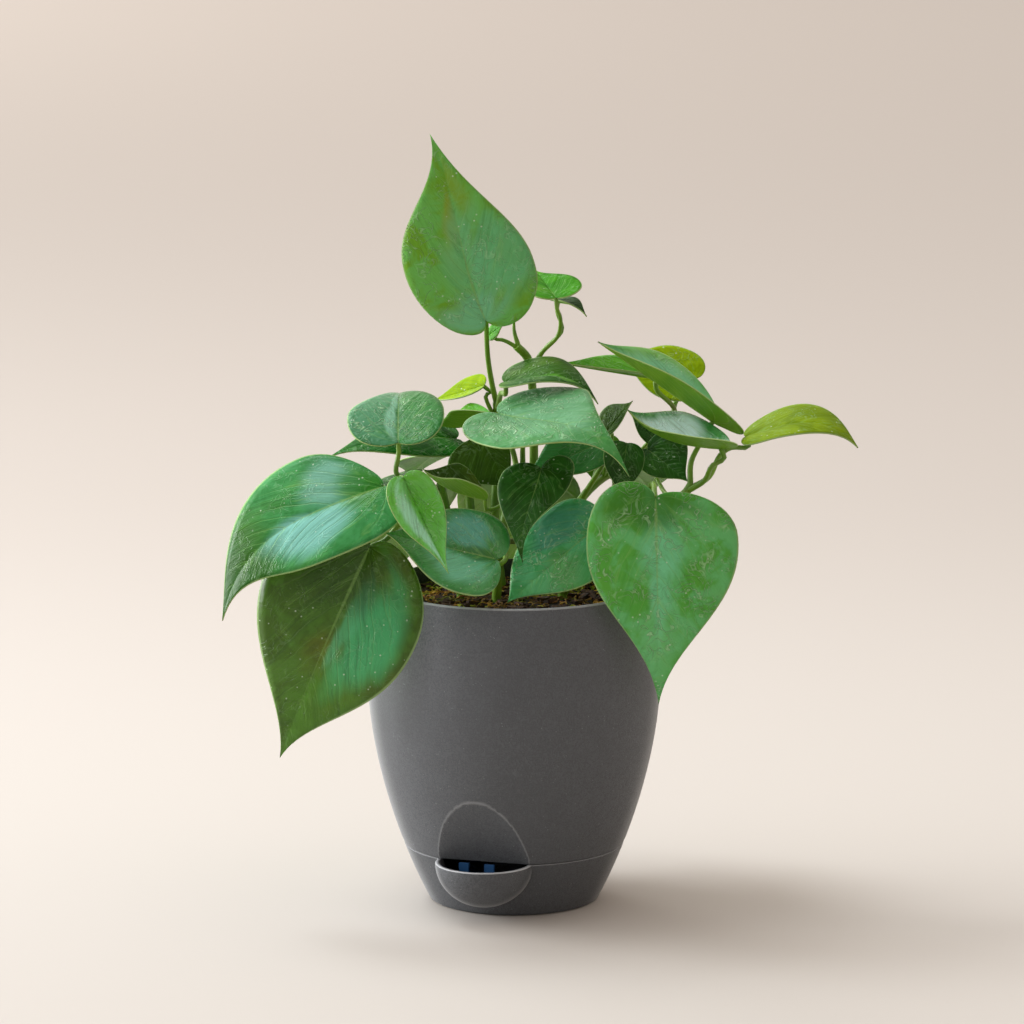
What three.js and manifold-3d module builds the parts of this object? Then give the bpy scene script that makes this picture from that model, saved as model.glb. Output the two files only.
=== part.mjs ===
// A potted heartleaf philodendron: a self-watering pot with its reservoir, the soil in it,
// and leafy vines that stand in the soil. Millimetres, +Z up, front towards -Y.
// The origin is the centre of the flat underside that the pot stands on.
import * as THREE from "three";
import Module from "manifold-3d";
import { mergeVertices } from "three/addons/utils/BufferGeometryUtils.js";

const wasm = await Module();
wasm.setup();

// Pot: the outer side is one cubic curve from the foot to the rim
const FOOT_RADIUS = 38.5;
const RIM_RADIUS = 61;
const POT_HEIGHT = 146.5;
const SIDE_LOWER_PULL = [50.3, 21.4];
const SIDE_UPPER_PULL = [79.7, 91.3];
const WALL = 2.4;
const RIM_ROUND = 0.8;
const SEAM_HEIGHT = 26.5;
const SEAM_GAP = 0.3;
const FLOOR_HEIGHT = 29.5;
const FLOOR_THICKNESS = 2.4;
const AROUND = 40;
const OUTER_STEPS = 9;
const INNER_STEPS = 6;
const SAUCER_STEPS = 4;

// Wick well: a cup under the pot's floor that carries soil down into the water
const WELL_RADIUS = 17;
const WELL_FOOT_RADIUS = 14;
const WELL_BOTTOM = 5;
const WELL_SLOT_WIDTH = 3;
const WELL_SLOT_HEIGHT = 9;
const WELL_SLOT_MIDDLE = 13;
const DRAIN_HOLES = 8;
const DRAIN_RADIUS = 2.5;
const DRAIN_CIRCLE = 30;

// Filling place: a flat recess in the pot's side over a round cup on the reservoir
const FILL_AZIMUTH = THREE.MathUtils.degToRad(-17.2);
const RECESS_DISTANCE = 45.6;
const RECESS_SLOPE = 0.48;
const CUP_RADIUS = 22.3;
const CUP_DEPTH = 20.5;
const CUP_WALL = 2;
const FOOT_ROUND = 1.5;

// Blue water insert: a ring round the wick well with two tabs that show in the cup
const INSERT_INNER = 20.5;
const INSERT_WALL = 2;
const INSERT_HEIGHT = 13;
const TAB_WIDTH = 4.5;
const TAB_THICKNESS = 1.6;
const TAB_DISTANCE = 49;
const TAB_OFFSETS = [-8.5, 3.5];
const TAB_TOP = 26.2;
const TAB_ARM_BOTTOM = 12.7;

// Soil
const SOIL_EDGE_HEIGHT = 138;
const SOIL_CENTRE_HEIGHT = 141;
const HOLE_DEPTH = 26;
const MOUND_STEPS = 3;
const GAP = 0.3;
const SMALL_AROUND = 24;
const CUT_MARGIN = 5;

// Leaves and stems
const BLADE_THICKNESS = 0.8;
const ROWS = 9;
const COLUMNS = 2;
const WIDEST = 0.22;
const NOTCH_PULL = [0.1, -0.3];
const LOBE_CORNER = 0.32;
const FLANK_PULL = [1.04, 0.6];
const TIP_PULL = [0.14, 0.72];
const SHOULDER_SHARE = 0.42;
const RIB_EASE = 2.6;
const STEM_RADIUS = 2.2;
const PETIOLE_RADIUS = 1.3;
const PETIOLE_STEPS = 6;
const PETIOLE_SIDES = 5;
const PETIOLE_GAP = 0.7;
const PETIOLE_RISE = 4;
const PETIOLE_SETBACK = 1;
const STEM_SIDES = 6;
const STEM_STEPS = 8;
const FOOT_RISE = 4;
const FOOT_LAP = 2;

// Working limits
const MERGE_DISTANCE = 1e-4;
const HALVINGS = 40;

const COLOURS = {
  pot: 0x4a4a49,
  saucer: 0x464646,
  insert: 0x3f7fc4,
  soil: 0x241a12,
  stem: 0x4c6a1c,
  deep: 0x2f6b34,
  teal: 0x4f8f6e,
  lime: 0x8fa81f,
  bright: 0x4f8f1c,
  olive: 0x3d5218,
  dark: 0x244a1c,
};

const VINES = {
  vine_crown: {
    stands: [-6, 22],
    route: [[-9, 24, 171], [-7, 28, 208], [-8, 26, 226]],
    leaves: {
      leaf_crown: {
        joins: 0.99, base: [-13, -6, 269], tip: [-38, -2, 353], face: [0, -1, 0.1], half: [28, 30],
        bend: [0.02, 0.06], sway: [-0.05, 0.05], lobes: [0.55, 0.45], fold: [4, 4], curl: [-0.06, -0.06],
        full: [0, -0.08], widest: [0.34, 0.2], tuck: [0.5, 0.1], via: [[-10, 20, 235], [-12, 10, 250]],
        colour: "deep",
      },
      leaf_left_lime: {
        joins: 0.86, base: [-14, 24, 234], tip: [-38, 40, 224], face: [-0.2, -0.5, 0.85], half: [7, 8],
        fold: [15, 15], petiole: 1.1, lobes: [0.2, 0.2], via: [[-13, 24, 230]], colour: "lime",
      },
      leaf_mid_left: {
        joins: 0.8, base: [-11, 5, 224], tip: [-39, 24, 218], face: [0.05, 0.05, 1], half: [10, 13],
        fold: [50, 50], bend: [-0.15, -0.18], petiole: 1, lobes: [0.1, 0.1], widest: [0.45, 0.45],
        tuck: [0.5, 0.5], via: [[-9, 16, 217]], colour: "bright",
      },
      leaf_upper_mid: {
        joins: 0.95, base: [-4, -2, 240], tip: [38, -10, 231], face: [0, -0.05, 1], half: [20, 11],
        fold: [14, -6], bend: [0.16, 0.34], lobes: [0.3, 0.3], via: [[-6, 14, 232]], colour: "deep",
      },
    },
  },
  vine_side: {
    stands: [9, 24],
    route: [[9, 28, 180], [9, 28, 217], [8, 24, 237], [6, 18, 248], [1, 14, 254]],
    shoots: [
      { joins: 0.98, by: [[0, 14, 261], [0, 15, 267]], radius: 1.3 },
    ],
    leaves: {
      leaf_crown_side: {
        joins: 0.86, base: [19, 2, 278], tip: [10, 46, 284], face: [0, -0.35, 1], half: [13, 14],
        fold: [10, 14], petiole: 1.1, lobes: [0.5, 0.5],
        via: [[13, 16, 251], [20, 12, 259], [21, 6, 268]], colour: "bright",
      },
      leaf_crown_young: {
        joins: 0.84, base: [20, 24, 273], tip: [33, 10, 268], face: [0.3, -0.4, 0.8], half: [5, 5],
        fold: [20, 20], bend: [0.1, 0.2], petiole: 1, via: [[14, 24, 251], [22, 28, 259]],
        colour: "dark",
      },
      leaf_young_roll: {
        joins: 0.98, base: [-11, 9, 260], tip: [-5, 5, 265], face: [0, -0.6, 0.6], half: [4, 4],
        petiole: 1, via: [[-5, 12, 257]], colour: "bright",
      },
    },
  },
  vine_left: {
    stands: [-24, -6],
    route: [[-34, -8, 177], [-43, -16, 193], [-49, -26, 198]],
    leaves: {
      leaf_left_round: {
        joins: 0.9, base: [-52, -34, 218], tip: [-52, 34, 227], face: [-0.05, -0.25, 1], half: [23, 21],
        fold: [4, 6], bend: [0.12, 0.2], full: [-0.12, -0.03], lobes: [0.3, 0.3], via: [[-53, -34, 204]],
        colour: "teal",
      },
      leaf_left_big: {
        joins: 0.99, base: [-59, -48, 200], tip: [-131, -44, 138], face: [-0.15, -0.7, 0.7],
        half: [27, 30], bend: [0.13, 0.16], sway: [0.06, 0.22], petiole: 1.4, lobes: [0.4, 0.2],
        full: [0.05, 0.05], widest: [0.22, 0.32], tuck: [0, 0.5], via: [[-53, -38, 197]], colour: "teal",
      },
      leaf_low_left_big: {
        joins: 0.8, base: [-65, -42, 171], tip: [-106, -36, 73], face: [-0.1, -0.9, 0.35],
        half: [38, 39], bend: [0.05, 0.1], petiole: 1.4, lobes: [0.5, 0.5], widest: [0.28, 0.22],
        full: [0.03, 0], tuck: [0.4, 0], via: [[-58, -34, 173]], colour: "deep",
      },
      leaf_small_folded: {
        joins: 0.85, base: [-49, -62, 206], tip: [-29, -68, 164], face: [0.1, -0.9, 0.45],
        half: [12, 13], fold: [26, 20], petiole: 1.1, lobes: [0.25, 0.3], full: [0, -0.05],
        via: [[-46, -50, 199]], colour: "deep",
      },
      leaf_behind_left: {
        joins: 0.7, base: [-46, 10, 192], tip: [-74, 6, 185], face: [0, -0.4, 0.9], half: [12, 9],
        petiole: 1.1, via: [[-41, 6, 188]], colour: "dark",
      },
    },
  },
  vine_front: {
    stands: [-8, -14],
    route: [[-6, -18, 170], [-2, -20, 189], [2, -16, 200]],
    leaves: {
      leaf_center: {
        joins: 0.98, base: [-7, -16, 228], tip: [51, -62, 207], face: [-0.1, -0.4, 0.93], half: [30, 27],
        bend: [0.05, 0.38], lean: [0.32, 0.78], full: [-0.18, -0.12], lobes: [0.4, 0.6],
        widest: [0.3, 0.28], via: [[0, -13, 208], [-3, -14, 217]], colour: "teal",
      },
      leaf_dark_heart: {
        joins: 0.95, base: [12, -28, 204], tip: [4, -50, 165], face: [-0.1, -1, 0.35], half: [15, 17],
        bend: [0.05, 0.1], sway: [0, 0.13], lobes: [0.8, 0.3], widest: [-0.03, 0.2], full: [-0.3, -0.09],
        via: [[6, -18, 203]], colour: "dark",
      },
      leaf_low_mid_left: {
        joins: 0.5, base: [-8, -48, 167], tip: [-58, -54, 180], face: [-0.1, -0.75, 0.65],
        half: [23, 21], fold: [6, 6], full: [0.05, 0.05], lobes: [0.3, 0.5], via: [[-4, -34, 164]],
        colour: "teal",
      },
      leaf_low_center: {
        joins: 0.45, base: [39, -30, 180], tip: [-3, -48, 147], face: [-0.1, -0.75, 0.65],
        half: [20, 22], lobes: [0.4, 0.4], full: [0.05, 0.15], via: [[21, -22, 171]], colour: "deep",
      },
      leaf_centre_olive: {
        joins: 0.9, base: [-13, -30, 191], tip: [-41, -26, 204], face: [0, -0.2, 1], half: [10, 13],
        bend: [-0.1, -0.15], fold: [60, 45], petiole: 1, lobes: [0.3, 0.2], widest: [0.3, 0.55],
        tuck: [0, 0.5], full: [0, 0.15], via: [[-3, -24, 189]], colour: "olive",
      },
    },
  },
  vine_far_left: {
    stands: [-20, 14],
    route: [[-20, 18, 177], [-22, 20, 200], [-19, 18, 208]],
    leaves: {
      leaf_left_under: {
        joins: 0.98, base: [-27, 16, 211], tip: [-84, 0, 205], face: [-0.1, -0.45, 0.9], half: [16, 17],
        lobes: [0.3, 0.3], bend: [0.08, 0.14], via: [[-24, 18, 208]], colour: "dark",
      },
      leaf_back_olive: {
        joins: 0.93, base: [-15, -4, 215], tip: [-1, -10, 191], face: [-0.1, -0.85, 0.5], half: [9, 20],
        petiole: 1.1, lobes: [0.3, 0.3], via: [[-16, 10, 208]], colour: "olive",
      },
    },
  },
  vine_right: {
    stands: [22, -6],
    route: [[39, -14, 169], [64, -22, 185], [77, -22, 192], [80, -20, 196]],
    leaves: {
      leaf_right_heart: {
        joins: 0.62, base: [63, -56, 196], tip: [65, -50, 101], face: [0.05, -1, 0.18], half: [37, 31],
        curl: [-0.12, -0.12], bend: [0.02, 0.06], petiole: 1.5, lobes: [0.25, 0.45],
        full: [-0.04, -0.08], tuck: [0.25, 0], via: [[62, -36, 199]], colour: "teal",
      },
      leaf_upper_right: {
        joins: 0.99, base: [90, -8, 223], tip: [38, 0, 258], face: [0.5, 0.2, 0.75], half: [12, 22],
        fold: [30, 42], lobes: [1.1, 0.4], widest: [0.22, 0.45], full: [0, 0.12], tuck: [0, 0.5],
        via: [[80, -18, 206], [85, -14, 215]], colour: "bright",
      },
      leaf_right_lime: {
        joins: 0.97, base: [105, -14, 217], tip: [155, -22, 213], face: [0, -0.22, 0.97], half: [23, 15],
        bend: [0.15, 0.35], full: [0.16, 0.1], lobes: [0.3, 0.2], widest: [0.3, 0.22], tuck: [0.2, 0],
        via: [[88, -18, 199], [93, -18, 209], [98, -16, 212]], colour: "lime",
      },
      leaf_right_glossy: {
        joins: 0.95, base: [93, -28, 214], tip: [51, -12, 229], face: [0, -0.3, 0.95], half: [10, 19],
        fold: [50, 15], bend: [-0.12, -0.22], lobes: [1, 0.8], widest: [0.22, 0.5], full: [0, 0.15],
        tuck: [0, 0.6], via: [[86, -26, 199], [89, -29, 206]], colour: "teal",
      },
      leaf_right_under: {
        joins: 0.85, base: [61, 2, 208], tip: [79, -8, 195], face: [0, -0.7, 0.6], half: [16, 10],
        petiole: 1.1, via: [[66, 0, 193]], colour: "dark",
      },
    },
  },
  vine_right_back: {
    stands: [22, 18],
    route: [[28, 24, 176], [39, 28, 189], [53, 32, 196]],
    leaves: {
      leaf_back_lime: {
        joins: 0.98, base: [82, 44, 234], tip: [47, 50, 244], face: [0, -0.8, 0.6], half: [14, 14],
        via: [[71, 42, 210], [75, 44, 224]], colour: "lime",
      },
      leaf_long_left: {
        joins: 0.95, base: [65, 28, 237], tip: [19, 16, 246], face: [0, 0.1, 1], half: [7, 12],
        fold: [10, 40], lobes: [0.2, 0.2], via: [[74, 32, 220]], colour: "bright",
      },
      leaf_mid_stripe: {
        joins: 0.6, base: [41, 2, 212], tip: [4, -12, 198], face: [0, -0.8, 0.6], half: [11, 15],
        lobes: [0.2, 0.2], via: [[42, 12, 203]], colour: "teal",
      },
      leaf_backlit: {
        joins: 0.7, base: [40, 36, 207], tip: [38, 34, 185], face: [0, 1, 0.3], half: [12, 10],
        via: [[41, 32, 205]], colour: "bright",
      },
      leaf_right_small: {
        joins: 0.8, base: [42, 14, 214], tip: [54, 6, 230], face: [-0.3, -0.8, 0.5], half: [9, 3],
        petiole: 1, lobes: [0.2, 0.2], via: [[44, 18, 207]], colour: "olive",
      },
      leaf_mid_right: {
        joins: 0.9, base: [51, -6, 212], tip: [48, -20, 189], face: [0.2, -0.9, 0.4], half: [9, 10],
        petiole: 1, lobes: [0.2, 0.2], via: [[50, 10, 207]], colour: "dark",
      },
      leaf_dark_right: {
        joins: 0.99, base: [64, 18, 210], tip: [53, 14, 223], face: [0, -0.8, 0.5], half: [4, 9],
        petiole: 1, lobes: [0.3, 0.3], colour: "dark",
      },
    },
  },
  vine_back_left: {
    stands: [-28, 24],
    route: [[-30, 32, 168], [-34, 40, 186]],
    leaves: {
      leaf_back_low_left: {
        joins: 0.7, base: [-46, 50, 178], tip: [-76, 90, 108], face: [-0.5, 0.7, 0.5], half: [28, 28],
        bend: [0.1, 0.12], via: [[-38, 44, 176]], colour: "deep",
      },
      leaf_back_mid_left: {
        joins: 0.98, base: [-24, 42, 202], tip: [-50, 86, 178], face: [-0.3, 0.3, 1], half: [24, 24],
        bend: [0.08, 0.14], via: [[-28, 40, 196]], colour: "teal",
      },
      leaf_back_far_left: {
        joins: 0.85, base: [-56, 32, 188], tip: [-104, 64, 156], face: [-0.5, 0.2, 1], half: [26, 26],
        bend: [0.08, 0.14], via: [[-44, 36, 188]], colour: "deep",
      },
    },
  },
  vine_back_middle: {
    stands: [4, 36],
    route: [[4, 42, 168], [4, 46, 194]],
    leaves: {
      leaf_back_low_middle: {
        joins: 0.7, base: [2, 62, 184], tip: [4, 108, 118], face: [0, 0.8, 0.55], half: [29, 29],
        bend: [0.1, 0.12], via: [[4, 52, 182]], colour: "teal",
      },
      leaf_back_high: {
        joins: 0.98, base: [4, 46, 212], tip: [22, 92, 204], face: [0, 0.1, 1], half: [23, 23],
        bend: [0.1, 0.16], via: [[4, 44, 204]], colour: "deep",
      },
    },
  },
  vine_back_right: {
    stands: [30, 24],
    route: [[38, 30, 162], [46, 36, 178]],
    leaves: {
      leaf_back_low_right: {
        joins: 0.75, base: [42, 54, 170], tip: [66, 92, 106], face: [0.4, 0.75, 0.5], half: [27, 27],
        bend: [0.1, 0.12], via: [[42, 46, 170]], colour: "deep",
      },
      leaf_back_mid_right: {
        joins: 0.98, base: [44, 46, 194], tip: [66, 88, 170], face: [0.2, 0.3, 1], half: [22, 22],
        bend: [0.08, 0.14], via: [[46, 42, 188]], colour: "dark",
      },
      leaf_back_far_right: {
        joins: 0.9, base: [64, 34, 178], tip: [88, 76, 124], face: [0.6, 0.4, 0.7], half: [20, 20],
        bend: [0.08, 0.14], via: [[54, 36, 180]], colour: "teal",
      },
    },
  },
};

const group = new THREE.Group();

/** Adds one named mesh of its own material. */
function add(name, geometry, colour, roughness) {
  const material = new THREE.MeshStandardMaterial({ color: colour, roughness, metalness: 0 });
  const mesh = new THREE.Mesh(geometry, material);
  mesh.name = name;
  group.add(mesh);
}

/** The closed solid of a geometry, with its shared corners merged. */
function solid(geometry) {
  const bare = geometry.clone();
  bare.deleteAttribute("normal");
  bare.deleteAttribute("uv");
  const merged = mergeVertices(bare, MERGE_DISTANCE);
  const corners = merged.index.array;
  const kept = [];
  for (let i = 0; i < corners.length; i += 3) {
    const [a, b, c] = [corners[i], corners[i + 1], corners[i + 2]];
    if (a !== b && b !== c && c !== a) kept.push(a, b, c);
  }
  const mesh = new wasm.Mesh({
    numProp: 3,
    vertProperties: new Float32Array(merged.attributes.position.array),
    triVerts: new Uint32Array(kept),
  });
  return new wasm.Manifold(mesh);
}

/** The geometry of a solid. */
function geometryOf(manifold) {
  const mesh = manifold.getMesh();
  const geometry = new THREE.BufferGeometry();
  geometry.setAttribute("position", new THREE.BufferAttribute(mesh.vertProperties, 3));
  geometry.setIndex(new THREE.BufferAttribute(mesh.triVerts, 1));
  geometry.computeVertexNormals();
  return geometry;
}

/** A solid turned about Z from [radius, height] points that run up from the axis and back to it. */
function turned(profile, around = AROUND) {
  const points = profile.map(([radius, height]) => new THREE.Vector2(radius, height));
  const geometry = new THREE.LatheGeometry(points, around);
  geometry.rotateX(Math.PI / 2);
  return solid(geometry);
}

/** Moves a geometry's solid to a place at a distance from the axis towards the filling cup. */
function atFillSide(geometry, distance, height, aside = 0) {
  geometry.translate(aside, -distance, height);
  geometry.rotateZ(FILL_AZIMUTH);
  return solid(geometry);
}

const side = new THREE.CubicBezierCurve(
  new THREE.Vector2(FOOT_RADIUS, 0),
  new THREE.Vector2(...SIDE_LOWER_PULL),
  new THREE.Vector2(...SIDE_UPPER_PULL),
  new THREE.Vector2(RIM_RADIUS, POT_HEIGHT),
);

/** Radius of the pot's outer side at a height. */
function sideRadius(height) {
  let low = 0;
  let high = 1;
  for (let i = 0; i < HALVINGS; i++) {
    const middle = (low + high) / 2;
    if (side.getPoint(middle).y < height) low = middle;
    else high = middle;
  }
  return side.getPoint(low).x;
}

/** [radius, height] points of the side between two heights, moved in by a wall. */
function sideProfile(from, to, inset, steps) {
  return Array.from({ length: steps + 1 }, (_, i) => {
    const height = from + ((to - from) * i) / steps;
    return [sideRadius(height) - inset, height];
  });
}

const wellTop = FLOOR_HEIGHT + FLOOR_THICKNESS;
const innerWall = sideProfile(wellTop, POT_HEIGHT, WALL, INNER_STEPS);

/** Radius of the pot's inner wall at a height, on the straight stretches between its steps. */
function innerRadius(height) {
  const i = innerWall.findIndex((point) => point[1] >= height);
  const [below, above] = [innerWall[i - 1], innerWall[i]];
  const part = (height - below[1]) / (above[1] - below[1]);
  return THREE.MathUtils.lerp(below[0], above[0], part);
}

/** The wedge in front of the recess's sloped plane, moved back by an inset. */
function recessWedge(inset, bottom) {
  const reach = RIM_RADIUS;
  const top = POT_HEIGHT / 2 + SEAM_HEIGHT;
  const near = RECESS_DISTANCE - inset;
  const distanceAt = (height) => near + (height - SEAM_HEIGHT) * RECESS_SLOPE;
  const outline = new THREE.Shape([
    new THREE.Vector2(distanceAt(bottom), bottom),
    new THREE.Vector2(distanceAt(bottom) + reach, bottom),
    new THREE.Vector2(distanceAt(top) + reach, top),
    new THREE.Vector2(distanceAt(top), top),
  ]);
  const geometry = new THREE.ExtrudeGeometry(outline, { depth: 2 * reach, bevelEnabled: false });
  geometry.translate(0, 0, -reach);
  geometry.rotateX(Math.PI / 2);
  geometry.rotateZ(FILL_AZIMUTH - Math.PI / 2);
  return solid(geometry);
}

/** A round upright bar. */
function bar(radius, bottom, top, x, y, sides) {
  const geometry = new THREE.CylinderGeometry(radius, radius, top - bottom, sides);
  geometry.rotateX(Math.PI / 2);
  geometry.translate(x, y, (top + bottom) / 2);
  return solid(geometry);
}

/** A round cup or plug that widens from one radius and height to another. */
function cone(lowRadius, bottom, highRadius, top) {
  return turned([[0, bottom], [lowRadius, bottom], [highRadius, top], [0, top]], SMALL_AROUND);
}

function potBody() {
  const bottom = SEAM_HEIGHT + SEAM_GAP;
  const outer = turned([
    [0, bottom],
    ...sideProfile(bottom, POT_HEIGHT - RIM_ROUND, 0, OUTER_STEPS),
    [RIM_RADIUS - RIM_ROUND, POT_HEIGHT],
    [0, POT_HEIGHT],
  ]);
  const cavity = turned([
    [0, wellTop],
    ...innerWall,
    [RIM_RADIUS - WALL, POT_HEIGHT + CUT_MARGIN],
    [0, POT_HEIGHT + CUT_MARGIN],
  ]);
  const skirt = sideRadius(FLOOR_HEIGHT) - WALL;
  const under = turned([
    [0, bottom - CUT_MARGIN],
    [skirt, bottom - CUT_MARGIN],
    [skirt, FLOOR_HEIGHT],
    [0, FLOOR_HEIGHT],
  ]);
  const behindRecess = recessWedge(WALL, bottom - 2 * CUT_MARGIN);
  let body = outer
    .subtract(recessWedge(0, bottom - CUT_MARGIN))
    .subtract(cavity.subtract(behindRecess))
    .subtract(under.subtract(behindRecess));
  const well = cone(WELL_FOOT_RADIUS, WELL_BOTTOM, WELL_RADIUS, wellTop);
  const wellInside = cone(WELL_FOOT_RADIUS - WALL, WELL_BOTTOM + WALL, WELL_RADIUS - WALL, wellTop + 1);
  body = body.add(well).subtract(wellInside);
  for (let i = 0; i < DRAIN_HOLES; i++) {
    const angle = (2 * Math.PI * (i + 0.5)) / DRAIN_HOLES;
    const [x, y] = [DRAIN_CIRCLE * Math.cos(angle), DRAIN_CIRCLE * Math.sin(angle)];
    body = body.subtract(bar(DRAIN_RADIUS, FLOOR_HEIGHT - 1, wellTop + 1, x, y, SMALL_AROUND / 2));
  }
  const slot = new THREE.BoxGeometry(2 * WELL_RADIUS + CUT_MARGIN, WELL_SLOT_WIDTH, WELL_SLOT_HEIGHT);
  slot.translate(0, 0, WELL_SLOT_MIDDLE);
  return geometryOf(body.subtract(solid(slot)));
}

/** A squashed ball, centred where the cup's rim plane meets the recess. */
function cupBall(wall) {
  const geometry = new THREE.SphereGeometry(1, SMALL_AROUND, SMALL_AROUND / 2);
  geometry.rotateX(Math.PI / 2);
  geometry.scale(CUP_RADIUS - wall, CUP_RADIUS - wall, CUP_DEPTH - wall);
  return atFillSide(geometry, RECESS_DISTANCE, SEAM_HEIGHT);
}

function reservoirSaucer() {
  const outer = turned([
    [0, 0],
    [FOOT_RADIUS - FOOT_ROUND, 0],
    ...sideProfile(FOOT_ROUND / 2, SEAM_HEIGHT, 0, SAUCER_STEPS),
    [0, SEAM_HEIGHT],
  ]);
  const inside = turned([
    [0, WALL],
    [FOOT_RADIUS - WALL, WALL],
    ...sideProfile(WALL + FOOT_ROUND, SEAM_HEIGHT, WALL, SAUCER_STEPS - 1),
    [sideRadius(SEAM_HEIGHT) - WALL, SEAM_HEIGHT + CUT_MARGIN],
    [0, SEAM_HEIGHT + CUT_MARGIN],
  ]);
  const aboveSeam = turned([
    [0, SEAM_HEIGHT],
    [2 * RIM_RADIUS, SEAM_HEIGHT],
    [2 * RIM_RADIUS, 2 * SEAM_HEIGHT],
    [0, 2 * SEAM_HEIGHT],
  ], SMALL_AROUND);
  const shell = outer.add(cupBall(0)).subtract(aboveSeam);
  return geometryOf(shell.subtract(inside).subtract(cupBall(CUP_WALL)));
}

function waterInsert() {
  const bottom = WALL + GAP;
  const top = bottom + INSERT_HEIGHT;
  const armHeight = top - TAB_ARM_BOTTOM;
  const armMiddle = TAB_ARM_BOTTOM + armHeight / 2;
  const armStart = INSERT_INNER - INSERT_WALL / 2;
  const inside = bar(INSERT_INNER, bottom - 1, top + 1, 0, 0, SMALL_AROUND);
  let insert = bar(INSERT_INNER + INSERT_WALL, bottom, top, 0, 0, SMALL_AROUND).subtract(inside);
  for (const aside of TAB_OFFSETS) {
    const arm = new THREE.BoxGeometry(TAB_WIDTH, TAB_DISTANCE - armStart, armHeight);
    insert = insert.add(atFillSide(arm, (TAB_DISTANCE + armStart) / 2, armMiddle, aside));
    const tab = new THREE.BoxGeometry(TAB_WIDTH, TAB_THICKNESS, TAB_TOP - TAB_ARM_BOTTOM);
    insert = insert.add(atFillSide(tab, TAB_DISTANCE, (TAB_TOP + TAB_ARM_BOTTOM) / 2, aside));
  }
  return geometryOf(insert);
}

/** Soil that fills the pot and its wick well, with a low mound and a hole for each vine. */
function soilFill(vines) {
  const bottom = wellTop + GAP;
  const heights = innerWall.map((point) => Math.max(point[1], bottom));
  const sideHeights = [...heights.filter((height) => height < SOIL_EDGE_HEIGHT), SOIL_EDGE_HEIGHT];
  const edgeRadius = innerRadius(SOIL_EDGE_HEIGHT) - GAP;
  const mound = [];
  for (let i = MOUND_STEPS - 1; i >= 0; i--) {
    const out = i / MOUND_STEPS;
    mound.push([out * edgeRadius, THREE.MathUtils.lerp(SOIL_CENTRE_HEIGHT, SOIL_EDGE_HEIGHT, out * out)]);
  }
  const sides = sideHeights.map((height) => [innerRadius(height) - GAP, height]);
  let soil = turned([[0, bottom], ...sides, ...mound]);
  soil = soil.subtract(recessWedge(WALL + GAP, bottom - CUT_MARGIN));
  const inset = WALL + GAP;
  soil = soil.add(cone(WELL_FOOT_RADIUS - inset, WELL_BOTTOM + inset, WELL_RADIUS - inset, bottom + 1));
  for (const { stands: [x, y] } of Object.values(vines)) {
    soil = soil.subtract(bar(STEM_RADIUS + GAP, SOIL_EDGE_HEIGHT - HOLE_DEPTH, POT_HEIGHT, x, y, STEM_SIDES));
  }
  return geometryOf(soil);
}

/**
 * Half outline of a heart-shaped blade from notch to tip: across in half widths, along in lengths.
 * The shape gives how deep the lobe is, where the half is widest, how full its flank is towards the
 * tip, and how far the lobe's corner is rounded off.
 */
function outlineAt(s, { lobe, widest, full, tuck }) {
  const corner = THREE.MathUtils.lerp(-LOBE_CORNER * lobe, widest, tuck);
  const shoulder = new THREE.CubicBezierCurve(
    new THREE.Vector2(0, 0),
    new THREE.Vector2(NOTCH_PULL[0], NOTCH_PULL[1] * lobe),
    new THREE.Vector2(1, corner),
    new THREE.Vector2(1, widest),
  );
  const flank = new THREE.CubicBezierCurve(
    new THREE.Vector2(1, widest),
    new THREE.Vector2(FLANK_PULL[0], FLANK_PULL[1] + full),
    new THREE.Vector2(TIP_PULL[0], TIP_PULL[1] + full),
    new THREE.Vector2(0, 1),
  );
  if (s < SHOULDER_SHARE) return shoulder.getPoint(s / SHOULDER_SHARE);
  return flank.getPoint((s - SHOULDER_SHARE) / (1 - SHOULDER_SHARE));
}

/** The outline values of a leaf's left or right half. */
function halfShape(leaf, half) {
  const { lobes = [0.6, 0.6], widest = [WIDEST, WIDEST], full = [0, 0], tuck = [0, 0] } = leaf;
  return { lobe: lobes[half], widest: widest[half], full: full[half], tuck: tuck[half] };
}

/** The midrib's curve, and the level direction across the blade. */
function midribOf(leaf) {
  const base = new THREE.Vector3(...leaf.base);
  const tip = new THREE.Vector3(...leaf.tip);
  const length = base.distanceTo(tip);
  const chord = tip.clone().sub(base).normalize();
  const across = chord.clone().cross(new THREE.Vector3(...leaf.face)).normalize();
  const up = across.clone().cross(chord);
  const [bend1, bend2] = leaf.bend ?? [0, 0];
  const [sway1, sway2] = leaf.sway ?? [0, 0];
  const [lean1, lean2] = leaf.lean ?? [1 / 3, 2 / 3];
  const pull = (lean, bend, sway) => base.clone()
    .addScaledVector(chord, lean * length)
    .addScaledVector(up, bend * length)
    .addScaledVector(across, sway * length);
  const curve = new THREE.CubicBezierCurve3(base, pull(lean1, bend1, sway1), pull(lean2, bend2, sway2), tip);
  return { curve, across, length };
}

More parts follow.
